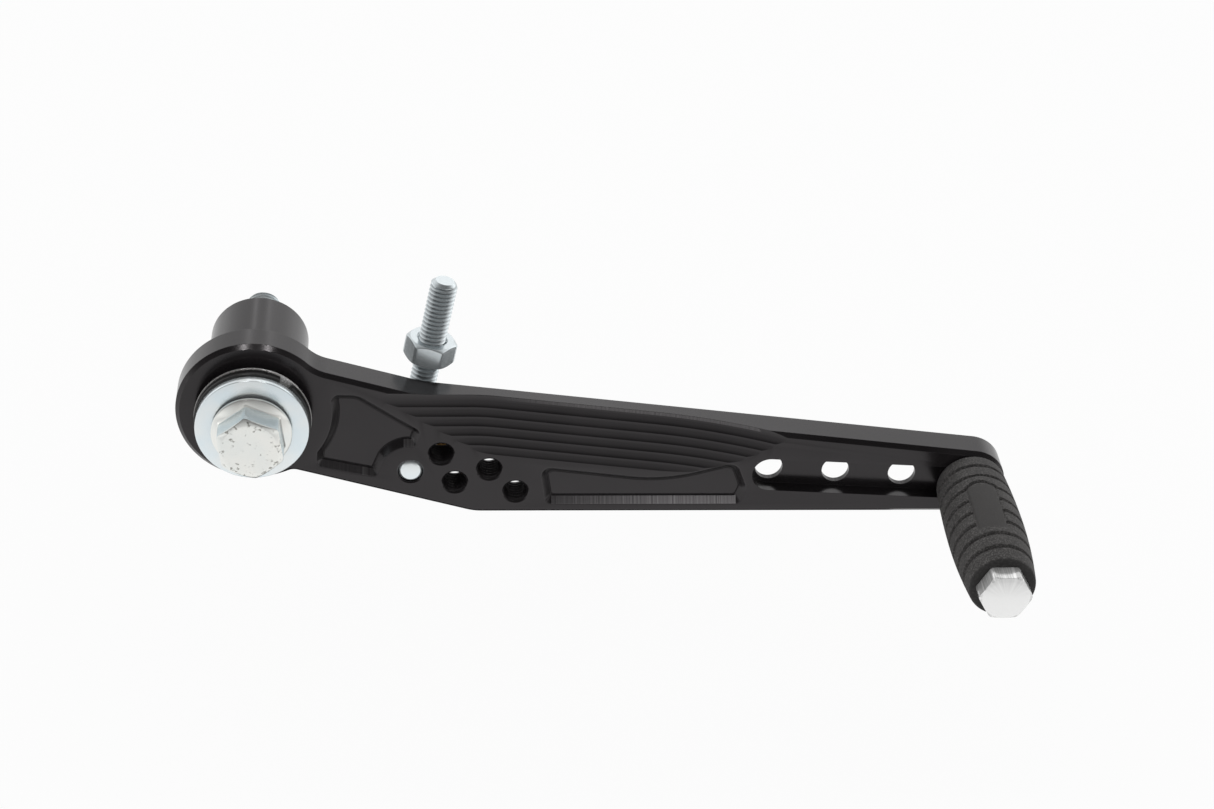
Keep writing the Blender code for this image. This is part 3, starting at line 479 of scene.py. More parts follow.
class Finish(Net):
    """The node tree of one finish, with its shader's sockets and its object coordinates."""

    def __init__(self, name, metallic=0.0, specular=0.5):
        self.material = bpy.data.materials.new(name)
        self.material.use_nodes = True
        super().__init__(self.material.node_tree)
        self.shader = self.tree.nodes["Principled BSDF"].inputs
        self.shader["Metallic"].default_value = metallic
        self.shader["Specular IOR Level"].default_value = specular
        self.place = self.coords()

    def plug(self, **sockets):
        """Link values to the shader and give back the material."""
        for key, value in sockets.items():
            self.tree.links.new(value, self.shader[key.replace("_", " ")])
        return self.material

    def about(self, node):
        """Height above a node's axis along Y, and the angle round it from upright."""
        x, z = centre_of(node)
        split = self.split(self.place)
        above = self.math("SUBTRACT", split["Z"], z)
        return above, self.math("ARCTAN2", self.math("SUBTRACT", split["X"], x), above)


def anodised():
    """Black anodised alloy: soft gloss and faint clouds, with cutter marks and painted highlights on milled walls
    and lip, and two painted glints.
    """
    net = Finish("black_anodised")
    place = net.place
    x = net.split(place)["X"]
    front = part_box("lever_arm")[0].y

    def front_box(coords, across, heights, depths=HIGHLIGHT_DEPTH, foot=0.0):
        low, high = zip(across, (front + depth for depth in depths), (foot + height for height in heights))
        return net.box(coords, low, high)

    cloud = net.noise(place, 70.0)
    grain = net.noise(place, 5200.0, 3.0)
    chatter = net.noise(net.stretched(place, (1.0, 0.0, 0.0)), 2400.0, 3.0, 0.7)
    chatter = net.span(chatter, 0.40, 0.62, 0.4, 1.0)
    # Blade pocket's lower wall: cutter marks with a painted highlight, fading to the left
    wall = net.times(front_box(place, WALL_X, WALL_Z), net.span(x, *WALL_FADE))
    lip = front_box(net.leaning(place, BLADE_NORMAL), LIP_X, LIP_HEIGHT, LIP_DEPTH, BLADE_OFFSET)
    corner = Vector(NECK_POCKET_LOW[0][:2]) * MM
    run = corner - Vector(NECK_POCKET_LOW[1][:2]) * MM
    square = Vector((-run.y, run.x)).normalized()
    ledge = front_box(net.leaning(place, square), LEDGE_X, LEDGE_HEIGHT, foot=corner.dot(square))
    # Painted highlights on the lip, the ledge and the wall, streaked like cutter marks
    painted_highlights = [(net.times(lip, net.span(x, *LIP_FADE)), (0.105, 0.10, 0.102)), (ledge, (0.034, 0.032, 0.033))]
    # Painted glints in the neck pocket
    painted_highlights += [(front_box(place, across, heights), (0.055, 0.052, 0.053)) for across, heights in PAINTED_GLINTS]
    painted_highlights.append((wall, (0.23, 0.22, 0.225)))
    colour = net.shade(cloud, 0.35, 0.65, (0.0062, 0.0054, 0.0058), (0.0098, 0.0086, 0.0092))
    for mask, tint in painted_highlights:
        colour = net.blend(net.times(mask, chatter), colour, tint)
    rough = net.math("ADD", net.span(cloud, 0.3, 0.7, 0.16, 0.20), net.span(grain, 0.3, 0.7, 0.0, 0.05))
    edge = net.node("ShaderNodeBevel", {"Radius": 0.12 * MM}, samples=4).outputs["Normal"]
    fine = net.bump(grain, 0.12, 0.02 * MM, edge)
    net.shader["Specular Tint"].default_value = ANODISED_TINT
    return net.plug(Base_Color=colour, Roughness=rough,
                    Normal=net.bump(net.times(chatter, wall), 0.4, 0.05 * MM, fine))


def zinc():
    """Bright zinc plate: cool with warmer patches, creamier and specked on the bolt's head, with painted shade on
    its hex flats, in the gap under its flange and in the rod end's thread grooves.
    """
    net = Finish("zinc_plate", metallic=0.84)
    place = net.place
    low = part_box("pivot_bolt")[0].y
    seat = low + BOLT_HEAD
    away = net.vector("LENGTH", net.stretched(place, (1.0, 0.0, 1.0)))

    def about_bolt(reach, near, far):
        return net.box(place, (-reach, near, -reach), (reach, far, reach))

    patch = net.span(net.noise(place, 160.0, 3.0), 0.35, 0.65, 0.0, 1.0)
    colour = net.blend(patch, (0.81, 0.90, 0.94), (0.88, 0.92, 0.925))
    cream = net.blend(patch, (0.87, 0.895, 0.87), (0.93, 0.93, 0.89))
    colour = net.blend(about_bolt(CREAM_REACH, low - 1.0 * MM, seat - 0.02 * MM), colour, cream)
    # Painted shade: the bolt's hex flats darker than its crown and flange
    shaded_flats = about_bolt(FLATS_REACH, low + FLATS_START, low + FLATS_DEPTH)
    colour = net.blend(shaded_flats, colour, (0.72, 0.79, 0.81))
    colour = net.blend(net.box(place, SHANK_LOW, SHANK_HIGH), colour, (0.64, 0.69, 0.71))
    lean = (math.sin(ROD_LEAN), 0.0, math.cos(ROD_LEAN))
    reach = net.vector("LENGTH", net.vector("CROSS_PRODUCT", net.vector("SUBTRACT", place, SWIVEL), lean))
    # Painted shade in the grooves of the rod end's thread
    groove_shade = net.span(reach, ROD_RADIUS - ROD_THREAD_DEPTH, ROD_RADIUS - 0.1 * MM, 0.85, 0.0)
    below = net.box(place, SHANK_LOW, (*SHANK_HIGH[:2], ROD_TIP_Z - TIP_CLEAR))
    colour = net.blend(net.times(below, groove_shade), colour, (0.14, 0.147, 0.153))
    worn = net.math("ADD", net.noise(place, 1000.0, 4.0, 0.65), net.span(away, *WORN_RIM, 0.0, 0.055))
    face = about_bolt(FACE_REACH, low - 1.0 * MM, low + FACE_DEPTH)
    colour = net.blend(net.times(net.span(worn, 0.625, 0.68, 0.0, 0.9), face), colour, (0.30, 0.30, 0.27))
    # Painted shade in the gap under the bolt's flange, on the faces inside it
    flange_gap_shade = about_bolt(FLANGE_RADIUS, seat - FLANGE_GAP - 0.01 * MM, seat + 0.03 * MM)
    flange_gap_shade = net.times(flange_gap_shade, net.math("LESS_THAN", away, FLANGE_RADIUS - 0.08 * MM))
    colour = net.blend(flange_gap_shade, colour, (0.012, 0.012, 0.012))
    rough = net.span(net.noise(place, 1700.0, 3.0), 0.3, 0.7, 0.23, 0.26)
    pitted = net.bump(net.noise(place, 600.0), 0.03, 0.02 * MM)
    return net.plug(Base_Color=colour, Roughness=rough, Normal=pitted)


def steel():
    """Ground steel, with a painted highlight where the split ring's gap uncovers it."""
    net = Finish("bright_steel", metallic=0.6)
    grain = net.noise(net.place, 2600.0, 3.0)
    colour = net.shade(grain, 0.3, 0.7, (0.27, 0.265, 0.26), (0.40, 0.395, 0.385))
    # Painted highlight in the split ring's gap
    colour = net.blend(net.box(net.place, GAP_LOW, GAP_HIGH), colour, (0.66, 0.65, 0.64))
    return net.plug(Base_Color=colour, Roughness=net.span(grain, 0.3, 0.7, 0.2, 0.32))


def polymer():
    """Dark bearing polymer, moulded."""
    net = Finish("dark_polymer")
    grain = net.noise(net.place, 1500.0, 3.0)
    colour = net.blend(grain, (0.018, 0.018, 0.019), (0.04, 0.04, 0.041))
    return net.plug(Base_Color=colour, Roughness=net.span(grain, 0.3, 0.7, 0.45, 0.6),
                    Normal=net.bump(grain, 0.2, 0.03 * MM))


def mottled(name, scale, first, second, rough, metallic=0.0):
    """A plain finish that wavers between two colours and two roughnesses."""
    net = Finish(name, metallic)
    grain = net.noise(net.place, scale, 3.0)
    return net.plug(Base_Color=net.shade(grain, 0.3, 0.7, first, second),
                    Roughness=net.span(grain, 0.3, 0.7, *rough))


def alloy():
    """Polished alloy: drawn streaks along the bar, and a painted sheen of faint rays on the upper half of its
    turned end.
    """
    net = Finish("turned_alloy", metallic=0.6)
    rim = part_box("peg_core")[0].y + PEG_DOME
    above, turn = net.about("peg_core")
    streak = net.noise(net.stretched(net.place, (1.0, 0.02, 1.0)), 1300.0, 3.0, 0.6)
    drawn = net.shade(streak, 0.36, 0.64, (0.42, 0.42, 0.415), (0.97, 0.97, 0.965))
    # Painted sheen: faint rays on the upper half of the turned end
    ray_sheen = net.span(net.noise(net.join(turn), 5.0, 3.0, 0.6), 0.35, 0.65, 1.0, 0.0)
    ray_sheen = net.times(ray_sheen, net.span(above, 0.5 * MM, 4.0 * MM, 0.0, 1.0))
    turned = net.blend(ray_sheen, (0.93, 0.93, 0.925), (0.72, 0.72, 0.715))
    end = net.span(net.split(net.place)["Y"], rim + 0.1 * MM, rim + 0.3 * MM, 1.0, 0.0)
    net.shader["Anisotropic"].default_value = 0.6
    tangent = net.node("ShaderNodeTangent", direction_type="RADIAL", axis="Y").outputs["Tangent"]
    return net.plug(Base_Color=net.blend(end, drawn, turned), Tangent=tangent,
                    Roughness=net.span(streak, 0.3, 0.7, 0.18, 0.24))


def rubber():
    """Moulded rubber: dull, with a fine pale speckle, smoother on its panel, and painted shade on its front end.
    """
    net = Finish("peg_rubber", specular=0.35)
    low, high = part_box("peg_rubber")
    speck = net.noise(net.place, 2600.0, 3.0, 0.65)
    dark = net.shade(net.noise(net.place, 140.0), 0.3, 0.7, (0.031, 0.029, 0.0283), (0.043, 0.0405, 0.0395))
    colour = net.shade(speck, 0.45, 0.72, dark, (0.125, 0.12, 0.117))
    y = net.split(net.place)["Y"]
    off = net.math("ABSOLUTE", net.math("SUBTRACT", net.about("peg_rubber")[1], PANEL_TURN))
    band = (high.y - low.y) / (GROOVES + 1)
    front, back = ([high.y - band * share for share in shares] for shares in PANEL_BANDS)
    panel = net.times(net.span(off, PANEL_HALF_ANGLE - PANEL_LINE, PANEL_HALF_ANGLE, 0.8, 0.0),
                      net.span(y, *front, 0.0, 1.0), net.span(y, *back, 1.0, 0.0))
    colour = net.blend(panel, colour, (0.044, 0.0415, 0.0405))
    # Painted shade on the front end
    end = net.span(y, low.y + 0.15 * MM, low.y + 0.6 * MM, 0.75, 0.0)
    colour = net.blend(end, colour, (0.010, 0.0095, 0.0093))
    return net.plug(Base_Color=colour, Roughness=net.span(speck, 0.3, 0.7, 0.62, 0.8),
                    Normal=net.bump(speck, 0.35, 0.06 * MM))


FINISH = {
    "black_anodised": anodised(),
    "zinc_plate": zinc(),
    "bright_steel": steel(),
    "black_spring": mottled("black_spring", 1800.0, (0.004, 0.004, 0.004), (0.007, 0.0068, 0.0066),
                            (0.27, 0.31)),
    "dark_polymer": polymer(),
    "turned_alloy": alloy(),
    "peg_rubber": rubber(),
    "race_bronze": mottled("race_bronze", 700.0, (0.42, 0.24, 0.085), (0.62, 0.39, 0.16), (0.28, 0.42), 1.0),
}
SLOT_OF = {part["node"]: part["material_slot"] for part in frame["record"]["subparts"]}
BODY_OF = {node: body for body, members in frame["record"]["behaviour"]["bodies"].items() for node in members}


def angles(spin=0.0, steps=STEPS):
    return spin + np.arange(steps) * 2.0 * math.pi / steps


def ring(radius, height, turn):
    """Points round local Z at the given angles; radius and height may vary with the angle."""
    radius = np.broadcast_to(radius, turn.shape)
    height = np.broadcast_to(height, turn.shape)
    return np.stack([radius * np.cos(turn), radius * np.sin(turn), height], axis=1)


def rings(profile, turn):
    """Rows of points round local Z, from (radius, height) pairs."""
    return [ring(radius, height, turn) for radius, height in profile]


def scaled(table):
    """A table of millimetres in metres."""
    return [tuple(value * MM for value in row) for row in table]


def screw_point(table, tip):
    """Profile down to a screw's tip, from (radius, distance from the tip) pairs in millimetres."""
    return [(radius, tip + height) for radius, height in scaled(table)]


def hex_radius(turn, across, spin=0.0):
    """Distance to a hexagon's side at each angle, corners slightly rounded."""
    sector = math.pi / 3.0
    off = (turn - spin) % sector - sector / 2.0
    return np.minimum(across / 2.0 / np.cos(off), across / math.sqrt(3.0) - HEX_ROUND)


def hex_end(side, crown, end, inwards):
    """Profile of a hexagon's end, from its crown circle to its sides; inwards is +1 or -1."""
    drop = (side - crown) * math.tan(HEAD_ANGLE)
    return [(crown, end), (side - HEX_EDGE, end + inwards * (drop - HEX_EDGE_RISE)),
            (side, end + inwards * (drop + HEX_EDGE))]


class Skin:
    """A closed surface put together from rows of points."""

    def __init__(self, rows=None, loop=False):
        self.points = []
        self.faces = []
        if rows is not None:
            self.add_grid(rows, loop)

    def add_grid(self, rows, loop=False, rise=0):
        """Join each row to the next and its own end to its start, or to the start of a row that many further on.

        Loop also joins the last row to the first.
        """
        rows = np.asarray(rows)
        count, steps, _ = rows.shape
        start = len(self.points)
        self.points.extend(rows.reshape(-1, 3))
        for j in range(count if loop else count - 1):
            for i in range(steps):
                once, k = divmod(i + 1, steps)
                near = j + once * rise
                if loop or near + 1 < count:
                    corners = ((j, i), (near, k), (near + 1, k), (j + 1, i))
                    self.faces.append([start + row % count * steps + at for row, at in corners])

    def add_thread(self, low, high, major, depth, pitch, turn, fade, tip=None):
        """Helical rows from low to high: a screw's, fading in and ending in a cone of the tip's radius.

        Without a tip it is the thread of a tapped hole, which fades at both ends.
        """
        share = np.arange(len(turn)) / len(turn)
        count = math.ceil((high - low) / pitch * THREAD_ROWS)
        level = np.arange(-THREAD_ROWS, count + THREAD_ROWS + 1)
        height = np.clip(low + (level[:, None] / THREAD_ROWS + share) * pitch, low, high)
        phase = (level / THREAD_ROWS) % 1.0
        wave = np.clip(np.abs(phase - 0.5) * THREAD_STEEP - THREAD_CREST, 0.0, 1.0)[:, None]
        if tip is None:
            grown = np.clip(np.minimum(height - low, high - height) / fade, 0.0, 1.0)
            radius = major - depth * (1.0 - wave) * grown
        else:
            grown = np.clip((height - low) / fade, 0.0, 1.0)
            radius = np.minimum(major - depth * wave * grown, tip + (high - height))
        rows = np.stack([radius * np.cos(turn), radius * np.sin(turn), height], axis=2)
        self.add_grid(rows, rise=THREAD_ROWS)

    def mesh(self, name):
        """Weld, close and orient the surface."""
        shape = bmesh.new()
        verts = [shape.verts.new(point) for point in self.points]
        for face in self.faces:
            shape.faces.new([verts[i] for i in face])
        bmesh.ops.remove_doubles(shape, verts=shape.verts, dist=WELD)
        bmesh.ops.dissolve_degenerate(shape, edges=shape.edges, dist=SLIVER)
        bmesh.ops.holes_fill(shape, edges=shape.edges, sides=0)
        bmesh.ops.recalc_face_normals(shape, faces=shape.faces)
        made = bpy.data.meshes.new(name)
        shape.to_mesh(made)
        shape.free()
        return made

    def make(self, node, place=None, sharp=SHARP, name=None):
        """Turn the surface into a piece that stands for a solid."""
        name = name or node + "_finish"
        made = self.mesh(name)
        if place is not None:
            made.transform(place)
        show(name, made, node, sharp)


def show(name, mesh, node, sharp):
    """Put a finished mesh in the scene, with its node's finish, body and slot."""
    mesh.shade_smooth()
    mesh.set_sharp_from_angle(angle=sharp)
    obj = bpy.data.objects.new(name, mesh)
    bpy.context.scene.collection.objects.link(obj)
    mesh.materials.clear()
    mesh.materials.append(FINISH[SLOT_OF[node]])
    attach(obj, BODY_OF[node])
    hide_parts(node)


def along_y(x=0.0, z=0.0):
    """Local Z to world +Y, through a place in the XZ plane."""
    return Matrix.Translation((x, 0.0, z)) @ Matrix.Rotation(math.radians(-90.0), 4, "X")


def rounded_section(outer, inner, low, high, edge):
    """Section of a ring with its four corners rounded, as (radius, height) points."""
    centres = ((outer - edge, high - edge), (inner + edge, high - edge), (inner + edge, low + edge),
               (outer - edge, low + edge))
    points = []
    for quarter, (radius, height) in enumerate(centres):
        for step in range(4):
            a = math.pi / 2.0 * quarter + EDGE_STEP * step
            points.append((radius + edge * math.cos(a), height + edge * math.sin(a)))
    return points


def turned(node, profile, turn, loop=False):
    """A piece turned about its node's axis along Y, from (radius, y) pairs."""
    Skin(rings(profile, turn), loop).make(node, along_y(*centre_of(node)))


def washer(node, edge, inner):
    """A plain ring that fills a node's box, with rounded edges."""
    low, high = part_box(node)
    turned(node, rounded_section((high.x - low.x) / 2.0, inner, low.y, high.y, edge), angles(), loop=True)


def arc(centre, radius, start, stop, steps):
    """Sharp corners along an arc, in radians from +X towards +Z, ends included."""
    swing = np.linspace(start, stop, steps + 1)
    return [(centre[0] + radius * math.cos(a), centre[1] + radius * math.sin(a), 0.0) for a in swing]


def rounded(corners):
    """The same outline with each (x, z, radius) corner replaced by sharp ones along its tangent arc."""
    outline = []
    for i, (x, z, radius) in enumerate(corners):
        if radius <= 0.0:
            outline.append((x, z, 0.0))
            continue
        here = Vector((x, z))
        before = (Vector(corners[i - 1][:2]) - here).normalized()
        after = (Vector(corners[(i + 1) % len(corners)][:2]) - here).normalized()
        half = before.angle(after) / 2.0
        centre = here + (before + after).normalized() * (radius / math.sin(half))
        first = here + before * (radius / math.tan(half)) - centre
        last = here + after * (radius / math.tan(half)) - centre
        swing = first.angle_signed(last)
        for k in range(CORNER_STEPS + 1):
            spot = centre + Matrix.Rotation(-swing * k / CORNER_STEPS, 2) @ first
            outline.append((spot.x, spot.y, 0.0))
    return outline


def meet(normal_a, offset_a, normal_b, offset_b):
    """Where two lines given by unit normal and offset cross."""
    det = normal_a[0] * normal_b[1] - normal_a[1] * normal_b[0]
    x = (offset_a * normal_b[1] - offset_b * normal_a[1]) / det
    return x, (normal_a[0] * offset_b - normal_b[0] * offset_a) / det


def eye_fillet(side, offset, radius):
    """Arc that joins the eye to a neck edge at the given offset above (+1) or below (-1).

    Gives its centre and the angles at which it meets the eye and the edge.
    """
    along = Vector((math.cos(NECK_ANGLE), -math.sin(NECK_ANGLE)))
    out = Vector(NECK_NORMAL) * side
    centre = out * (offset + radius) + along * math.sqrt((EYE_RADIUS + radius) ** 2 - (offset + radius) ** 2)
    return centre, math.atan2(-centre.y, -centre.x), math.atan2(-out.y, -out.x)


def arm_outline():
    """Eye, neck, knee, tapering blade and round end, run clockwise from under the eye."""
    top_centre, top_eye, top_edge = eye_fillet(1.0, NECK_ABOVE, NECK_TOP_FILLET)
    low_centre, low_eye, low_edge = eye_fillet(-1.0, NECK_BELOW, NECK_LOW_FILLET)
    eye = arc((0.0, 0.0), EYE_RADIUS, low_eye - math.pi, top_eye - math.pi, EYE_STEPS)
    top = arc(top_centre, NECK_TOP_FILLET, top_eye, top_edge, TOP_FILLET_STEPS)
    low = arc(low_centre, NECK_LOW_FILLET, low_edge, low_eye, LOW_FILLET_STEPS)
    knee = meet(NECK_NORMAL, NECK_ABOVE, BLADE_NORMAL, BLADE_OFFSET)
    heel = meet(NECK_NORMAL, -NECK_BELOW, (0.0, 1.0), END_Z - END_RADIUS)
    end = arc((END_X, END_Z), END_RADIUS, math.pi / 2.0 - BLADE_TAPER, -math.pi / 2.0, END_STEPS)
    knee_arc = rounded([top[-1], (*knee, KNEE_TOP_RADIUS), end[0]])[1:-1]
    heel_arc = rounded([end[-1], (*heel, KNEE_LOW_RADIUS), low[0]])[1:-1]
    return eye[1:] + top[1:] + knee_arc + end + heel_arc + low[:-1]


def neck_pocket_corners(hole):
    """Pocket between the eye's wall, the scoop and the wall round the first linkage hole."""
    eye = arc((0.0, 0.0), POCKET_EYE_RADIUS, *POCKET_EYE_ANGLES)
    wall = arc(hole, POCKET_HOLE_RADIUS, *POCKET_HOLE_ANGLES)
    return eye + scaled(NECK_POCKET_TOP) + wall + scaled(NECK_POCKET_LOW)


def sunk(corners, front, shrink=1.0):
    """A pocket's cutter: rounded rim, sloping walls and a floor edged by a shallow cutter line."""
    lean = math.atan2(POCKET_DEPTH, POCKET_SLOPE)
    reach = POCKET_RIM_RADIUS * math.tan(lean / 2.0)
    bends = np.linspace(*POCKET_RIM_BENDS) * lean
    levels = [(POCKET_RIM_RADIUS * (1.0 - math.cos(a)), POCKET_RIM_RADIUS * math.sin(a) - reach) for a in bends]
    depth, distance = levels[0]
    levels.insert(0, (-depth, distance - 2.0 * depth / math.tan(bends[0])))
    line = POCKET_LINE_DEPTH * POCKET_SLOPE / POCKET_DEPTH
    levels += [(POCKET_DEPTH, POCKET_SLOPE), (POCKET_DEPTH + POCKET_LINE_DEPTH, POCKET_SLOPE + line),
               (POCKET_DEPTH, POCKET_SLOPE + POCKET_LINE_WIDTH)]
    return prism(corners, [(front + depth, distance) for depth, distance in levels], shrink)


def peg_hole(peg, index):
    """Place of a peg hole, counted from the peg's own."""
    reach = PEG_PITCH * index
    return peg[0] - reach * math.cos(SLOT_ANGLE), peg[1] + reach * math.sin(SLOT_ANGLE)


def stadium(width, peg):
    """Long hole round the row of peg holes."""
    up = math.pi / 2.0 - SLOT_ANGLE
    right = arc(peg, width / 2.0, up, up - math.pi, SLOT_STEPS)
    return right + arc(peg_hole(peg, PEG_HOLES - 1), width / 2.0, up - math.pi, up - 2.0 * math.pi, SLOT_STEPS)


def inset(outline, distance):
    """Move each point of a closed outline towards its inside, square to its neighbours."""
    points = np.array(outline)
    ahead = np.roll(points, -1, axis=0) - points
    ahead /= np.linalg.norm(ahead, axis=1)[:, None]
    normal = np.stack([ahead[:, 1], -ahead[:, 0]], axis=1)
    middle = normal + np.roll(normal, 1, axis=0)
    middle /= np.linalg.norm(middle, axis=1)[:, None]
    stretch = np.clip((middle * normal).sum(axis=1), LEAST_STRETCH, 1.0)
    area = np.sum(points[:, 0] * np.roll(points[:, 1], -1) - np.roll(points[:, 0], -1) * points[:, 1])
    side = 1.0 if area < 0.0 else -1.0
    return points + side * middle * (distance / stretch)[:, None]


def prism(corners, levels, shrink=1.0):
    """Skin of an outline at (y, inset) levels; corner radii shrink by a share of the inset."""
    spots = [corner[:2] for corner in corners]
    rows = []
    for y, distance in levels:
        outline = [(*spot, max(radius - distance * shrink, LEAST_RADIUS) if radius > 0.0 else 0.0)
                   for spot, (_, _, radius) in zip(inset(spots, distance), corners)]
        rows.append([(x, y, z) for x, z, _ in rounded(outline)])
    return Skin(rows)


def flute(index, front):
    """One round flute, parallel to the blade's top edge: down a ramp, level, then out on an arc."""
    deepest = FLUTE_FIRST + FLUTE_STEP * index
    drop = FLUTE_TOP_INSET + FLUTE_PITCH * (FLUTES - 1 - index)
    out = deepest + CUT_OVER
    spots = [(FLUTE_LEFT - out / FLUTE_RAMP, out)]
    for run in np.linspace(FLUTE_BLEND, -FLUTE_BLEND, FLUTE_BLEND_ROWS):
        spots.append((FLUTE_LEFT - run, FLUTE_RAMP * (run + FLUTE_BLEND) ** 2 / (4.0 * FLUTE_BLEND)))
    for run in np.linspace(0.0, math.sqrt(2.0 * FLUTE_ARC * out), FLUTE_ARC_ROWS):
        spots.append((FLUTE_RIGHT + run, FLUTE_ARC - math.sqrt(FLUTE_ARC ** 2 - run ** 2)))
    turn = angles(steps=FLUTE_STEPS)
    rows = []
    for x, rise in spots:
        y = front + deepest - FLUTE_RADIUS - rise
        z = (BLADE_OFFSET - x * BLADE_NORMAL[0]) / BLADE_NORMAL[1] - drop
        rows.append(np.stack([np.full(FLUTE_STEPS, x), y + FLUTE_RADIUS * np.cos(turn),
                              z + FLUTE_RADIUS * np.sin(turn)], axis=1))
    return Skin(rows)


def round_form(profile, spot, steps):
    """Skin turned about an axis along Y from (radius, y) points."""
    skin = Skin(rings(profile, angles(steps=steps)))
    skin.points = [(spot[0] + px, pz, spot[1] - py) for px, py, pz in skin.points]
    return skin


def lever_arm():
    """The arm, cut like its solid but in finer facets, with threads in its open tapped holes."""
    low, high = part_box("lever_arm")
    front = low.y
    back = front + ARM_THICKNESS
    before = front - CUT_OVER
    behind = back + CUT_OVER
    pivot = (0.0, 0.0)
    peg = centre_of("peg_core")
    hole = (SWIVEL[0], SWIVEL[2])
    spare = [(hole[0] + x, hole[1] + z) for x, z in scaled(SPARE_HOLES)]
    arm = prism(arm_outline(), [(front, ARM_CHAMFER), (front + ARM_CHAMFER, 0.0), (back - ARM_CHAMFER, 0.0),
                                (back, ARM_CHAMFER)])
    hub = round_form([(HUB_RADIUS, back - ARM_THICKNESS / 2.0), (HUB_RADIUS, high.y - HUB_EDGE),
                      (HUB_RADIUS - HUB_EDGE, high.y)], pivot, HUB_STEPS)
    cuts = [round_form([(HUB_BORE, before), (HUB_BORE, high.y + CUT_OVER)], pivot, STEPS)]
    cuts += [flute(i, front) for i in range(FLUTES)]
    cuts += [sunk(neck_pocket_corners(hole), front), sunk(scaled(BLADE_POCKET), front, CORNER_SHRINK),
             prism(stadium(SLOT_WIDTH, peg), [(before, 0.0), (front + SLOT_DEPTH, 0.0)]),
             prism(stadium(BACK_SLOT_WIDTH, peg), [(back - SLOT_DEPTH, 0.0), (behind, 0.0)])]
    drill = [(PEG_HOLE_RADIUS, before), (PEG_HOLE_RADIUS, behind)]
    cuts += [round_form(drill, peg_hole(peg, i), PEG_HOLE_STEPS) for i in range(PEG_HOLES)]
    wide = TAP_RADIUS + TAP_CHAMFER + CUT_OVER
    tap = [(wide, before), (TAP_RADIUS, front + TAP_CHAMFER), (TAP_RADIUS, back - TAP_CHAMFER), (wide, behind)]
    cuts += [round_form(tap, spot, TAP_STEPS) for spot in [hole] + spare]
    show("lever_arm_finish", carve(arm, hub, cuts), "lever_arm", ARM_SHARP)
    turn = angles(steps=TAP_STEPS)
    start = front + TAP_START
    stop = back - TAP_START
    outer = TAP_RADIUS - TAP_INSET
    inner = outer - TAP_WALL
    wall = rings([(inner, start), (outer, start + TAP_WALL), (outer, stop - TAP_WALL), (inner, stop)], turn)
    for index, spot in enumerate(spare, 2):
        thread = Skin()
        thread.add_thread(start, stop, inner, TAP_DEPTH, TAP_PITCH, turn, TAP_FADE)
        thread.add_grid(wall)
        thread.make("lever_arm", along_y(*spot), name="tapped_thread_%d" % index)


def carve(block, joined, cuts):
    """Mesh of a block with one form joined to it and others cut from it."""
    def loose(skin):
        obj = bpy.data.objects.new("form", skin.mesh("form"))
        bpy.context.scene.collection.objects.link(obj)
        return obj

    body = loose(block)
    tools = [loose(joined)] + [loose(cut) for cut in cuts]
    for index, tool in enumerate(tools):
        mod = body.modifiers.new("step_%d" % index, "BOOLEAN")
        mod.operation = "UNION" if index == 0 else "DIFFERENCE"
        mod.solver = "EXACT"
        mod.object = tool
    bpy.context.view_layer.update()
    graph = bpy.context.evaluated_depsgraph_get()
    result = bpy.data.meshes.new_from_object(body.evaluated_get(graph))
    for obj in [body] + tools:
        old = obj.data
        bpy.data.objects.remove(obj, do_unlink=True)
        bpy.data.meshes.remove(old)
    return result


def pivot_bolt():
    """Flange bolt: crowned hexagon, sloping flange with a gap under it, and a threaded end."""
    low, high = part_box("pivot_bolt")
    seat = low.y + BOLT_HEAD
    under = seat - FLANGE_GAP
    shoulder = seat - FLANGE_RIM
    neck = FLANGE_RADIUS - FLANGE_GAP_DEPTH
    turn = angles(BOLT_CORNER)
    side = hex_radius(turn, BOLT_HEX, BOLT_CORNER)
    crown = BOLT_HEX / 2.0 - BOLT_CROWN_INSET
    rim = low.y + (side - crown) * math.tan(BOLT_CROWN_ANGLE)

    def flange(radius, lift=0.0):
        share = (FLANGE_RADIUS - radius) / (FLANGE_RADIUS - BOLT_HEX / 2.0)
        return radius, shoulder - FLANGE_SLOPE * share - lift

    profile = [(crown * share, low.y + depth * MM) for share, depth in BOLT_FACE]
    profile += [
        (crown + BOLT_EDGE, low.y + BOLT_EDGE / 2.0), (side - BOLT_EDGE, rim - BOLT_RIM_RISE),
        (side, rim + HEX_EDGE), flange(side, FLANGE_FILLET), flange(side + FLANGE_FILLET),
        flange(FLANGE_RADIUS - FLANGE_FILLET), (FLANGE_RADIUS, shoulder + BOLT_FILLET),
        (FLANGE_RADIUS, under - FLANGE_LIP), (FLANGE_RADIUS - FLANGE_LIP, under),
        (neck, seat - FLANGE_GAP * FLANGE_GAP_TAPER), (neck, seat), (BOLT_RADIUS + BOLT_FILLET, seat),
        (BOLT_RADIUS, seat + BOLT_FILLET), (BOLT_RADIUS, BOLT_THREAD_START),
    ]
    skin = Skin(rings(profile, turn))
    skin.add_thread(BOLT_THREAD_START, high.y, BOLT_RADIUS, BOLT_THREAD_DEPTH, BOLT_PITCH, turn,
                    BOLT_THREAD_FADE, BOLT_POINT_RADIUS)
    skin.make("pivot_bolt", along_y())


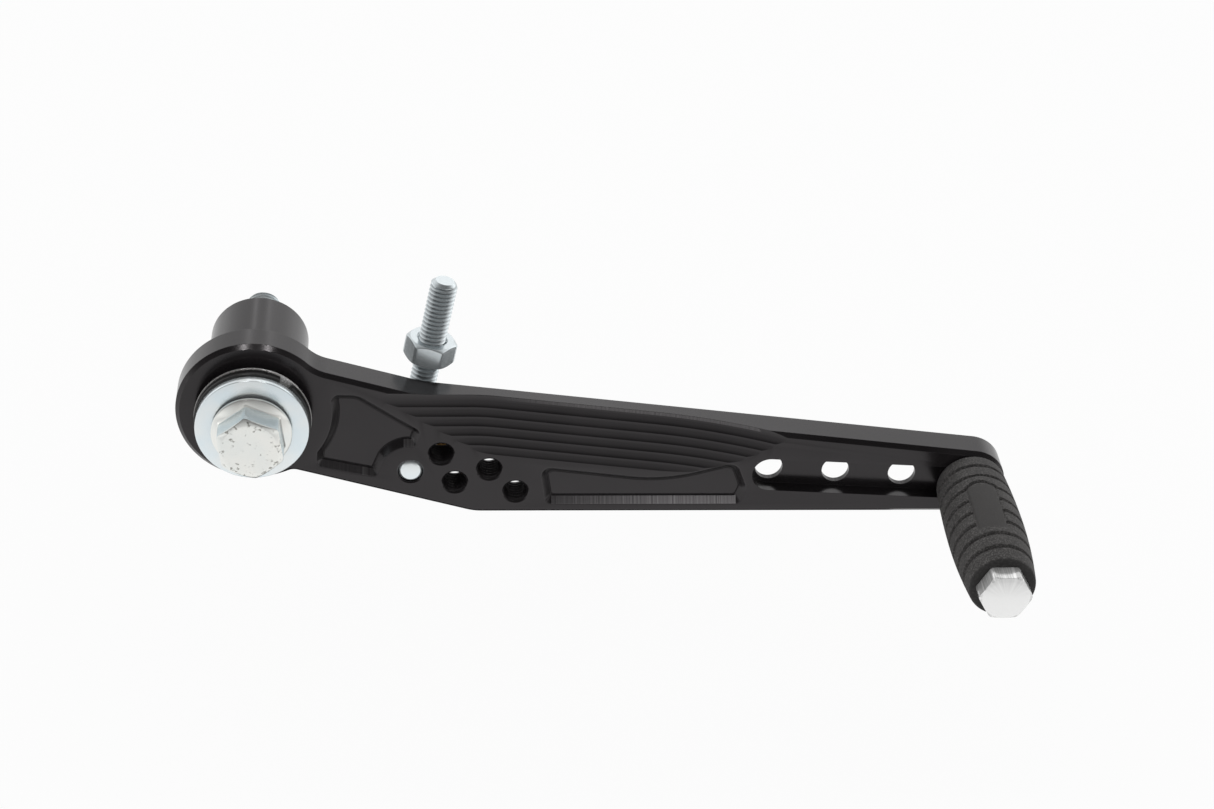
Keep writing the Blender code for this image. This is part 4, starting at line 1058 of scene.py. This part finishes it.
def split_ring():
    """Ring swept round the pivot axis from one side of its gap to the other."""
    low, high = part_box("split_ring")
    outer = (high.x - low.x) / 2.0
    section = rounded_section(outer, outer - RING_WIDTH, low.y, high.y, RING_EDGE)
    half = math.asin(RING_SPLIT / 2.0 / (outer - RING_WIDTH / 2.0))
    middle = math.radians(90.0) - RING_SPLIT_ANGLE
    rows = []
    for i in range(STEPS + 1):
        a = middle + half + (2.0 * math.pi - 2.0 * half) * i / STEPS
        rows.append([(r * math.cos(a), h, r * math.sin(a)) for r, h in section])
    Skin(rows).make("split_ring")


def front_bush():
    """Flanged bush in the front of the hub."""
    low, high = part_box("front_bush")
    flange = low.y + BUSH_FLANGE
    edge = BUSH_FLANGE_RADIUS - BUSH_EDGE
    section = [(BUSH_RADIUS, high.y), (BUSH_RADIUS, flange), (edge, flange),
               (BUSH_FLANGE_RADIUS, flange - BUSH_EDGE), (BUSH_FLANGE_RADIUS, low.y + BUSH_EDGE),
               (edge, low.y), (SLEEVE_BORE, low.y), (SLEEVE_BORE, high.y)]
    turned("front_bush", section, angles(), loop=True)


def peg_core():
    """Hexagonal bar with a domed and chamfered tip, on a round foot."""
    low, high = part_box("peg_core")
    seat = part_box("peg_rubber")[1].y + PEG_FOOT_GAP
    turn = angles()
    side = hex_radius(turn, PEG_HEX)
    dome = low.y + PEG_DOME
    slope = PEG_TIP_TAPER / (PEG_HEX / math.sqrt(3.0) - PEG_TIP_RADIUS)
    rim = dome + (side - PEG_TIP_RADIUS) * slope
    profile = [(PEG_TIP_RADIUS * share, low.y + PEG_DOME * share * share) for share in PEG_TIP_ROWS]
    profile += [(PEG_TIP_RADIUS + PEG_TIP_EDGE, dome + PEG_TIP_EDGE_RISE),
                (side - HEX_EDGE, rim - PEG_RIM_RISE), (side, rim + HEX_EDGE), (side, seat),
                (PEG_FOOT_RADIUS, seat), (PEG_FOOT_RADIUS, high.y)]
    turned("peg_core", profile, turn)


def peg_rubber():
    """Barrel with fine grooves; three of them stop at a bordered panel, under one that arches over it."""
    low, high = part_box("peg_rubber")
    length = high.y - low.y
    middle = (low.y + high.y) / 2.0
    band = length / (GROOVES + 1)
    turn = angles(steps=RUBBER_STEPS)
    up = np.abs((turn + math.radians(90.0) - PANEL_TURN + math.pi) % (2.0 * math.pi) - math.pi)
    border = PANEL_LINE_DEPTH * np.exp(-((up - PANEL_HALF_ANGLE) / PANEL_LINE) ** 2)
    open_side = np.clip((up - PANEL_HALF_ANGLE) / PANEL_BLEND, 0.0, 1.0)
    arch = ARCH_RISE * np.cos(np.clip(up / (PANEL_HALF_ANGLE * ARCH_SPREAD), 0.0, 1.0) * math.pi / 2.0)
    grooves = [high.y - band * (i + 1) for i in range(GROOVES)]
    panel_top = grooves[ARCH_GROOVE]
    panel_low = grooves[PANEL_GROOVES[-1]] - band * PANEL_END
    first = low.y + RUBBER_EDGE
    last = high.y - RUBBER_EDGE
    levels = {first, last}
    for at in grooves:
        levels.update(at + GROOVE_WIDTH * share for share in GROOVE_ROWS)
    for i in range(GROOVES + 1):
        levels.update(high.y - band * (i + share) for share in BAND_ROWS)

    def barrel(level):
        share = 2.0 * (level - middle) / length
        end = np.where(share > 0.0, RUBBER_BACK_RADIUS, RUBBER_FRONT_RADIUS)
        return RUBBER_MID_RADIUS - (RUBBER_MID_RADIUS - end) * share ** 2

    def edge(level, step, outwards):
        a = EDGE_STEP * step
        radius = barrel(level) - RUBBER_EDGE * (1.0 - math.cos(a))
        return ring(radius, level + outwards * RUBBER_EDGE * math.sin(a), turn)

    rows = [edge(first, step, -1.0) for step in (3, 2, 1)]
    for level in sorted(v for v in levels if first <= v <= last):
        cut = np.zeros_like(turn)
        for index, at in enumerate(grooves):
            across = abs(level - at) / GROOVE_WIDTH
            deep = GROOVE_DEPTH * min(1.0, max(0.0, (GROOVE_HALF - across) / GROOVE_FLANK)) ** GROOVE_POWER
            cut = np.maximum(cut, deep * (open_side if index in PANEL_GROOVES else 1.0))
        inside = min(level - panel_low, panel_top - level) / (band * PANEL_END_BLEND)
        cut = np.maximum(cut, border * min(1.0, max(0.0, inside)))
        bend = max(0.0, 1.0 - abs(level - panel_top) / (band * ARCH_REACH))
        lifted = level + arch * min(1.0, bend * ARCH_GAIN)
        rows.append(ring(barrel(lifted) - cut, lifted, turn))
    rows += [edge(last, step, 1.0) for step in (1, 2, 3)]
    hole = hex_radius(turn, PEG_HEX + HUG_GAP)
    rows += rings([(hole + RUBBER_HOLE_EDGE, high.y), (hole, high.y - RUBBER_HOLE_EDGE),
                   (hole, low.y + RUBBER_HOLE_EDGE), (hole + RUBBER_FRONT_EDGE, low.y)], turn)
    Skin(rows, loop=True).make("peg_rubber", along_y(*centre_of("peg_rubber")), RUBBER_SHARP)


def peg_screw():
    """Button head with a hexagon socket, in the rear slot."""
    low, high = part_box("peg_screw")
    radius = (high.x - low.x) / 2.0
    base = high.y - BUTTON_HEIGHT
    turn = angles()
    key = hex_radius(turn, KEY_HEX, math.radians(30.0))
    floor = high.y - KEY_DEPTH
    profile = [(key * KEY_FLOOR, floor), (key, floor), (key, high.y - KEY_EDGE), (key + KEY_EDGE, high.y)]
    for i in range(BUTTON_ROWS + 1):
        a = BUTTON_DOME * (1.0 - i / BUTTON_ROWS)
        profile.append((radius * math.cos(a), base + BUTTON_HEIGHT * math.sin(a) / math.sin(BUTTON_DOME)))
    profile += [(SCREW_RADIUS, base)] + screw_point(PEG_SCREW_POINT, low.y)
    turned("peg_screw", profile, turn)


def rod_end_place():
    """Ball centre, with local Z along the leaning shank."""
    return Matrix.Translation(SWIVEL) @ Matrix.Rotation(ROD_LEAN, 4, "Y")


def rod_end_body():
    """Ringed head about the ball, and the threaded shank that grows out of it."""
    tip = (ROD_TIP_Z - SWIVEL[2]) / math.cos(ROD_LEAN)
    turn = angles()
    section = rounded_section(HOUSING_RADIUS, RACE_RADIUS + FIT_GAP, -HOUSING_WIDTH / 2.0, HOUSING_WIDTH / 2.0,
                              HOUSING_EDGE)
    lie = along_y()
    skin = Skin([[tuple(lie @ Vector(point)) for point in row] for row in rings(section, turn)], loop=True)
    skin.add_grid(rings(scaled(ROD_NECK) + [(ROD_RADIUS, ROD_THREAD_START)], turn))
    skin.add_thread(ROD_THREAD_START, tip, ROD_RADIUS, ROD_THREAD_DEPTH, TAP_PITCH, turn, ROD_THREAD_FADE,
                    ROD_POINT_RADIUS)
    skin.make("rod_end_body", rod_end_place())


def lock_nut():
    """Hexagon nut, crowned at both ends, where its solid stands on the shank."""
    place = rod_end_place()
    heights = [(place.inverted() @ v.co).z for v in frame["nodes"]["lock_nut"].data.vertices]
    bottom = min(heights)
    top = max(heights)
    spin = math.radians(120.0) + NUT_TURN
    turn = angles(spin)
    side = hex_radius(turn, NUT_HEX, spin)
    crown = NUT_HEX / 2.0 - NUT_CROWN_INSET
    bore = ROD_RADIUS + NUT_GAP
    profile = [(bore, bottom + NUT_CHAMFER), (bore, top - NUT_CHAMFER), (bore + NUT_CHAMFER, top)]
    profile += hex_end(side, crown, top, -1.0) + hex_end(side, crown, bottom, 1.0)[::-1]
    profile.append((bore + NUT_CHAMFER, bottom))
    Skin(rings(profile, turn), loop=True).make("lock_nut", place)


def spherical(node, radius, wall, width, rows):
    """A ring about the ball's centre with one spherical side and one straight wall."""
    y = SWIVEL[1]
    half = math.asin(width / 2.0 / radius)
    section = [(wall, y + width / 2.0), (wall, y - width / 2.0)]
    for i in range(rows + 1):
        a = half * (2.0 * i / rows - 1.0)
        section.append((radius * math.cos(a), y + radius * math.sin(a)))
    turned(node, section, angles(steps=BALL_STEPS), loop=True)


def rod_end_screw():
    """Hexagon screw through the ball, its point in the first tapped hole."""
    low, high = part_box("rod_end_screw")
    turn = angles()
    side = hex_radius(turn, NUT_HEX, math.radians(30.0))
    crown = NUT_HEX / 2.0 - ROD_SCREW_CROWN_INSET
    head = high.y - ROD_SCREW_HEAD
    profile = [(crown * ROD_SCREW_FACE, high.y)] + hex_end(side, crown, high.y, -1.0)
    profile += [(side, head), (SCREW_RADIUS, head)] + screw_point(ROD_SCREW_POINT, low.y)
    turned("rod_end_screw", profile, turn)


def sheet(name, reach):
    """A flat sheet of the studio with a material of its own."""
    mesh = bpy.data.meshes.new(name)
    shape = bmesh.new()
    bmesh.ops.create_grid(shape, x_segments=1, y_segments=1, size=reach)
    shape.to_mesh(mesh)
    shape.free()
    obj = bpy.data.objects.new(name, mesh)
    bpy.context.scene.collection.objects.link(obj)
    mat = bpy.data.materials.new(name)
    mat.use_nodes = True
    mesh.materials.append(mat)
    return obj, mat.node_tree


def surround():
    """White surround. Mirrors see it darker above the camera, and in bands behind the object."""
    world = bpy.data.worlds.new("studio")
    bpy.context.scene.world = world
    world.use_nodes = True
    net = Net(world.node_tree)
    path = net.node("ShaderNodeLightPath").outputs
    towards = net.node("ShaderNodeTexCoord").outputs["Generated"]
    upright = net.vector("NORMALIZE", net.stretched(towards, (0.0, 1.0, 1.0)))
    facing = net.vector("DOT_PRODUCT", upright, DARK_TOWARDS)
    x, y, _ = net.split(towards)
    aside = net.math("DIVIDE", x, net.math("MAXIMUM", y, LEAST_AHEAD))
    bands = net.math("MULTIPLY", net.ramp(aside, BACK_BANDS), BACK_GAIN)
    banded = net.mix(net.span(y, *BACK_FROM, 0.0, 1.0), 1.0, bands)
    side = net.span(net.math("ABSOLUTE", x), *SIDE_FROM, 1.0, 1.0 + SIDE_GAIN)
    mirrored = net.times(net.ramp(facing, MIRROR_LEVELS), banded, side)
    level = net.mix(path["Is Glossy Ray"], SKY_LEVEL, mirrored)
    for seen in ("Is Camera Ray", "Is Transmission Ray"):
        level = net.mix(path[seen], level, 1.0)
    background = world.node_tree.nodes["Background"]
    background.inputs["Color"].default_value = (1.0, 1.0, 1.0, 1.0)
    world.node_tree.links.new(level, background.inputs["Strength"])


def floor():
    """Pale floor that keeps a faint shadow, and a dark card on it that only mirrors see, a painted shadow of the
    object under the arm.
    """
    obj, tree = sheet("floor", FLOOR_REACH)
    obj.location.z = -FLOOR_DROP
    tree.nodes.clear()
    net = Net(tree)
    path = net.node("ShaderNodeLightPath").outputs
    seen = net.math("MAXIMUM", path["Is Camera Ray"], path["Is Glossy Ray"])
    seen = net.math("MAXIMUM", seen, path["Is Transmission Ray"])
    matt = net.node("ShaderNodeBsdfDiffuse", {"Color": (FLOOR_GREY, FLOOR_GREY, FLOOR_GREY, 1.0)}).outputs[0]
    (far, far_level), (close, close_level) = FLOOR_FAR, FLOOR_NEAR
    mirrored = net.span(net.split(net.coords())["Y"], far, close, far_level, close_level)
    strength = net.mix(path["Is Glossy Ray"], 1.0, mirrored)
    glow = net.node("ShaderNodeEmission", {"Color": (1.0, 1.0, 1.0, 1.0), "Strength": strength}).outputs[0]
    mixed = net.node("ShaderNodeMixShader", {0: net.times(seen, FLOOR_SHARE), 1: matt, 2: glow}).outputs[0]
    net.node("ShaderNodeOutputMaterial", {"Surface": mixed})

    # Painted shadow under the arm, seen only by mirrors
    card, tree = sheet("under_card", CARD_REACH)
    card.location = CARD_PLACE
    card.scale = CARD_SCALE
    shader = tree.nodes["Principled BSDF"].inputs
    shader["Base Color"].default_value = (CARD_GREY, CARD_GREY, CARD_GREY, 1.0)
    shader["Specular IOR Level"].default_value = 0.0
    card.visible_camera = False
    card.visible_diffuse = False
    card.visible_shadow = False
    card.visible_transmission = False


def lamps():
    """Two small lamps above the camera, aimed at the top of the eye."""
    eye = Vector((0.0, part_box("lever_arm")[0].y, EYE_RADIUS))
    for name, towards in LAMPS:
        data = bpy.data.lights.new(name, "AREA")
        data.energy = LAMP_POWER
        data.spread = LAMP_SPREAD
        data.size = LAMP_SIZE
        lamp = bpy.data.objects.new(name, data)
        bpy.context.scene.collection.objects.link(lamp)
        away = Vector(towards).normalized()
        lamp.location = eye + away * LAMP_REACH
        lamp.rotation_euler = away.to_track_quat("Z", "Y").to_euler()


def camera():
    """The photograph's own camera."""
    data = bpy.data.cameras.new("photo_camera")
    data.sensor_width = SENSOR
    data.sensor_fit = "HORIZONTAL"
    data.lens = FOCAL_PIXELS / PHOTO_WIDTH * SENSOR
    data.clip_start = CLIP_START
    eye = bpy.data.objects.new("photo_camera", data)
    bpy.context.scene.collection.objects.link(eye)
    turn = Matrix.Rotation(CAMERA_AZIMUTH, 4, "Z") @ Matrix.Rotation(math.pi / 2.0 - CAMERA_ELEVATION, 4, "X")
    turn = turn @ Matrix.Rotation(CAMERA_ROLL, 4, "Z")
    eye.matrix_world = Matrix.Translation(CAMERA_PLACE) @ turn
    bpy.context.scene.camera = eye


lever_arm()
pivot_bolt()
washer("pivot_washer", WASHER_EDGE, BOLT_BORE)
washer("thrust_washer", THRUST_EDGE, SLEEVE_BORE)
split_ring()
washer("pivot_sleeve", SLEEVE_EDGE, BOLT_BORE)
washer("rear_bush", SLEEVE_EDGE, SLEEVE_BORE)
front_bush()
peg_core()
peg_rubber()
peg_screw()
rod_end_body()
lock_nut()
spherical("rod_end_race", BALL_RADIUS + FIT_GAP, RACE_RADIUS, RACE_WIDTH, RACE_ROWS)
spherical("rod_end_ball", BALL_RADIUS, BALL_BORE, BALL_WIDTH, BALL_ROWS)
washer("rod_end_spacer", SPACER_EDGE, BALL_BORE)
rod_end_screw()
bpy.context.scene.view_settings.view_transform = "Standard"
surround()
floor()
lamps()
camera()
